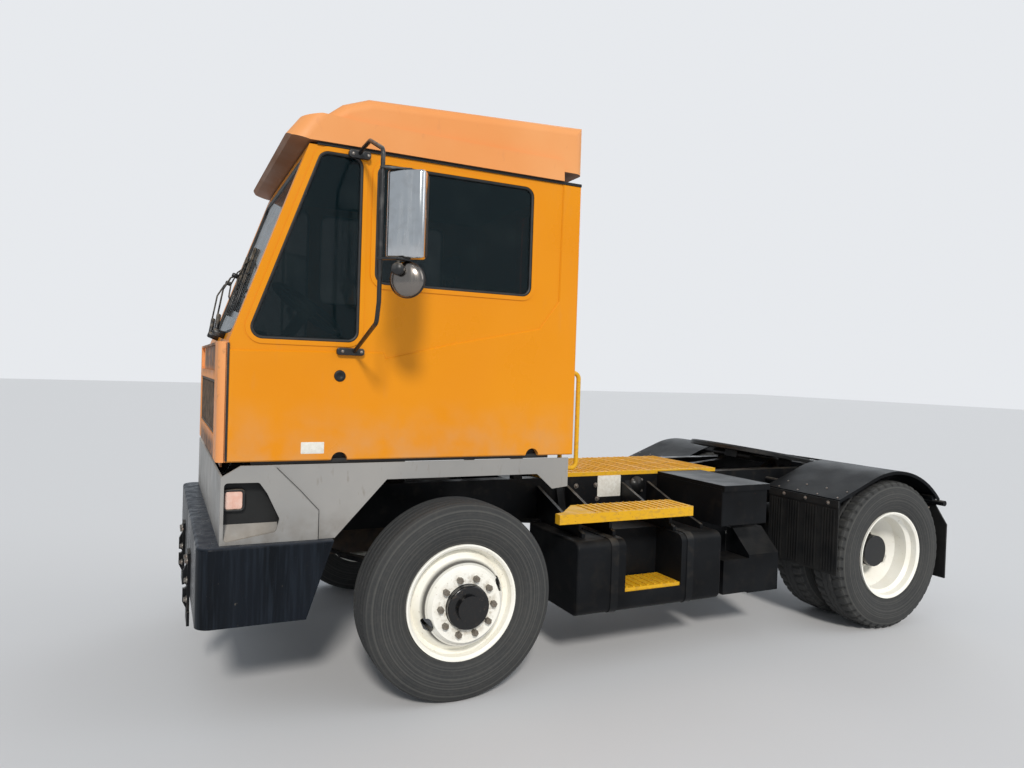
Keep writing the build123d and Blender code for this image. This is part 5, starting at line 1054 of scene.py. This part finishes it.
# %% Lamps, plug and plates
def flat_piece(centre, half, corner, thick, ease, side=1):
    """A thin rounded plate on a side of the truck: centre, half width and half height, in metres."""
    plate = lofted(round_box(half, corner), -0.001, thick, ease)
    return laid(plate, centre, along_x, along_z, side * along_y)


def bezel(centre, half, corner, side=1):
    """A raised black ring round a lens, with a rounded lip."""
    lip_profile = [(-0.001, -0.001), (-0.001, 0.007), (0.002, 0.010), (0.008, 0.010), (0.011, 0.006),
                   (0.011, -0.001)]
    return ring(round_box(half, corner), centre, along_x, along_z, side * along_y, lip_profile)


lamp_places = [((2.3575, side * 0.9152, 1.050), side) for side, hand in sides]
lenses = [flat_piece(centre, (0.040, 0.042), 0.013, 0.007, 0.005, side) for centre, side in lamp_places]
bezels = [bezel(centre, (0.0405, 0.0425), 0.013, side) for centre, side in lamp_places]
piece("headlamp_glass", lenses, lamp_lens, "chassis")
piece("headlamp_bezels", bezels, mirror_black, "chassis")

plug = turned([(0, 0.0035), (0.010, 0.0035), (0.012, 0.0055), (0.021, 0.0060), (0.027, 0.0045),
               (0.0285, 0.0010), (0.0285, -0.0010), (0, -0.0010)], 32)
piece("cab_side_plug", [set_down(plug, [(1.889, 0.970, 1.648)], along_y)], dark_plastic, "cab")
side_label = flat_piece((2.011, 0.970, 1.297), (0.055, 0.028), 0.003, 0.0006, 0.0003)
piece("blank_label", [side_label], plate_white, "cab")
rail_plate = flat_piece((-0.062, rail_web, 0.9485), (0.092, 0.071), 0.006, 0.0016, 0.0006)
piece("blank_plate", [rail_plate], plate_white, "chassis")

# %% Bumper corners, sill rubber, seams and the rail's cap
# outer and inner faces of the bent strip, 10 mm apart, on a quarter circle of 70 mm
bend_angle = np.linspace(-0.12, np.pi / 2 + 0.12, 18)
bend_radius = np.array([0.0703, 0.0703, 0.0603, 0.0603])
bend_height = np.array([0.4800, 0.8365, 0.8365, 0.4800])
bend_middle = (2.447, 0.945)
strips = []
for side, hand in sides:
    x = bend_middle[0] + np.cos(bend_angle)[:, None] * bend_radius
    y = side * (bend_middle[1] + np.sin(bend_angle)[:, None] * bend_radius)
    strip = np.stack([x, y, np.broadcast_to(bend_height, x.shape)], axis=-1)
    ends = [np.broadcast_to(strip[k].mean(0), (1, 4, 3)) for k in (0, -1)]
    quads = grid_faces(len(bend_angle) + 2, 4, False, True)
    strips.append((np.concatenate([ends[0], strip, ends[1]]), quads if side < 0 else quads[:, ::-1]))
piece("bumper_corners", strips, bumper_paint, "chassis", smooth=False)

sill = [upright_block((0.700, y, 1.2185), (2.290, y + 0.012, 1.2420), 0.004, 0.002) for y in (0.934, -0.462)]
piece("sill_rubber", sill, seal_rubber, "cab")
seam_y = 0.9662
seam_line = np.insert([(2.173, 1.206), (2.063, 1.095), (1.971, 0.993), (1.971, 0.856)], 1, seam_y, axis=1)
seam = tube(seam_line, 0.0012, 8)
other_seam = (seam[0] * mirrored_y, seam[1][:, ::-1])
piece("hood_seam", [seam, other_seam], seal_rubber, "chassis")
# the slit between the salmon corner and the yellow side
slit = [upright_block((2.3965, y - 0.0006, 1.240), (2.4070, y + 0.0006, 1.788), 0.0004, 0.0003, 3)
        for y in (0.9702, -0.4802)]
piece("corner_slit", slit, seal_rubber, "cab")

# a round cast cap on the rail's web, held by a ring of four bolts
cap_x, cap_z, bolt_circle = -0.285, 0.945, 0.053
cap = turned([(0, 0.030), (0.020, 0.030), (0.026, 0.024), (0.040, 0.022), (0.046, 0.012), (0.060, 0.010),
              (0.062, -0.001), (0, -0.001)], 36)
cap_turn = np.arange(4) * np.pi / 2 + np.pi / 4
cap_bolts = np.column_stack([cap_x + bolt_circle * np.cos(cap_turn), np.full(4, rail_web + 0.0095),
                             cap_z + bolt_circle * np.sin(cap_turn)])
cap_shape = set_down(cap, [(cap_x, rail_web, cap_z)], along_y)
piece("rail_cap", [cap_shape], axle_paint, "chassis")
cap_bolt_shapes = set_down(hex_head, cap_bolts, along_y, 0.7)
piece("rail_cap_bolts", [cap_bolt_shapes], bolt_steel, "chassis", smooth=False)
print("small fittings ready")


# %% [markdown]
# ## Wipers
# Two wipers are parked leaning over the glass. Each has a cast foot on the nose, a sprung housing, a
# thin rod that bows away from the glass, a black knuckle at its end and a blade with its rubber. The
# bow matters: against the sky the rods stand clear of the screen, so a flat bar would look painted
# on. Rod and blade are round bars along short paths, given by how far along the wiper and how far
# off the glass they run.

# %% Wiper shapes
wiper_lean = math.radians(38)
glass_lift = -0.0097
foot_v = 0.034 - pillar_length / 2
# how far along the wiper, and how far out from the screen's frame
rod = [(0.02, 0.050), (0.12, 0.066), (0.30, 0.084), (0.405, 0.068), (0.430, 0.046)]
bridge = [(0.300, 0.008), (0.330, 0.024), (0.430, 0.036), (0.545, 0.024), (0.580, 0.008)]
foot = turned([(0, 0.060), (0.012, 0.060), (0.017, 0.054), (0.019, 0.0), (0, 0.0)], 20)
knuckle = turned([(0, 0.034), (0.009, 0.034), (0.013, 0.028), (0.013, 0.004), (0.009, 0.0), (0, 0.0)], 20)


def on_wiper(foot_u, *places):
    """Points this far along the wiper from its foot and this far out from the screen's frame."""
    along_it, lift = np.array(places).T[:, :, None]
    u, v = foot_u - along_it * math.sin(wiper_lean), foot_v + along_it * math.cos(wiper_lean)
    return screen_middle + u * along_y + v * screen_up + lift * screen_out


wiper_parts = []
for foot_u in (-0.100, 0.330):
    wiper_parts += [
        tube(bent_path(on_wiper(foot_u, *rod), 0.020), 0.0045, 12),
        tube(bent_path(on_wiper(foot_u, *bridge), 0.015), 0.0045, 12),
        tube(on_wiper(foot_u, (0.0, 0.046), (0.115, 0.060)), 0.0115, 16),
        tube(on_wiper(foot_u, (0.187, glass_lift + 0.006), (0.700, glass_lift + 0.006)), 0.006, 12),
        tube(on_wiper(foot_u, (0.187, glass_lift + 0.014), (0.700, glass_lift + 0.014)), 0.0045, 12),
        set_down(foot, on_wiper(foot_u, (0.0, 0.0003)), screen_out),
        set_down(knuckle, on_wiper(foot_u, (0.430, 0.034)), screen_out),
    ]
wiper_set = piece("wiper_set", wiper_parts, mirror_black, "cab")
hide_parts("wipers")
print("wipers", len(wiper_set.data.polygons), "faces")
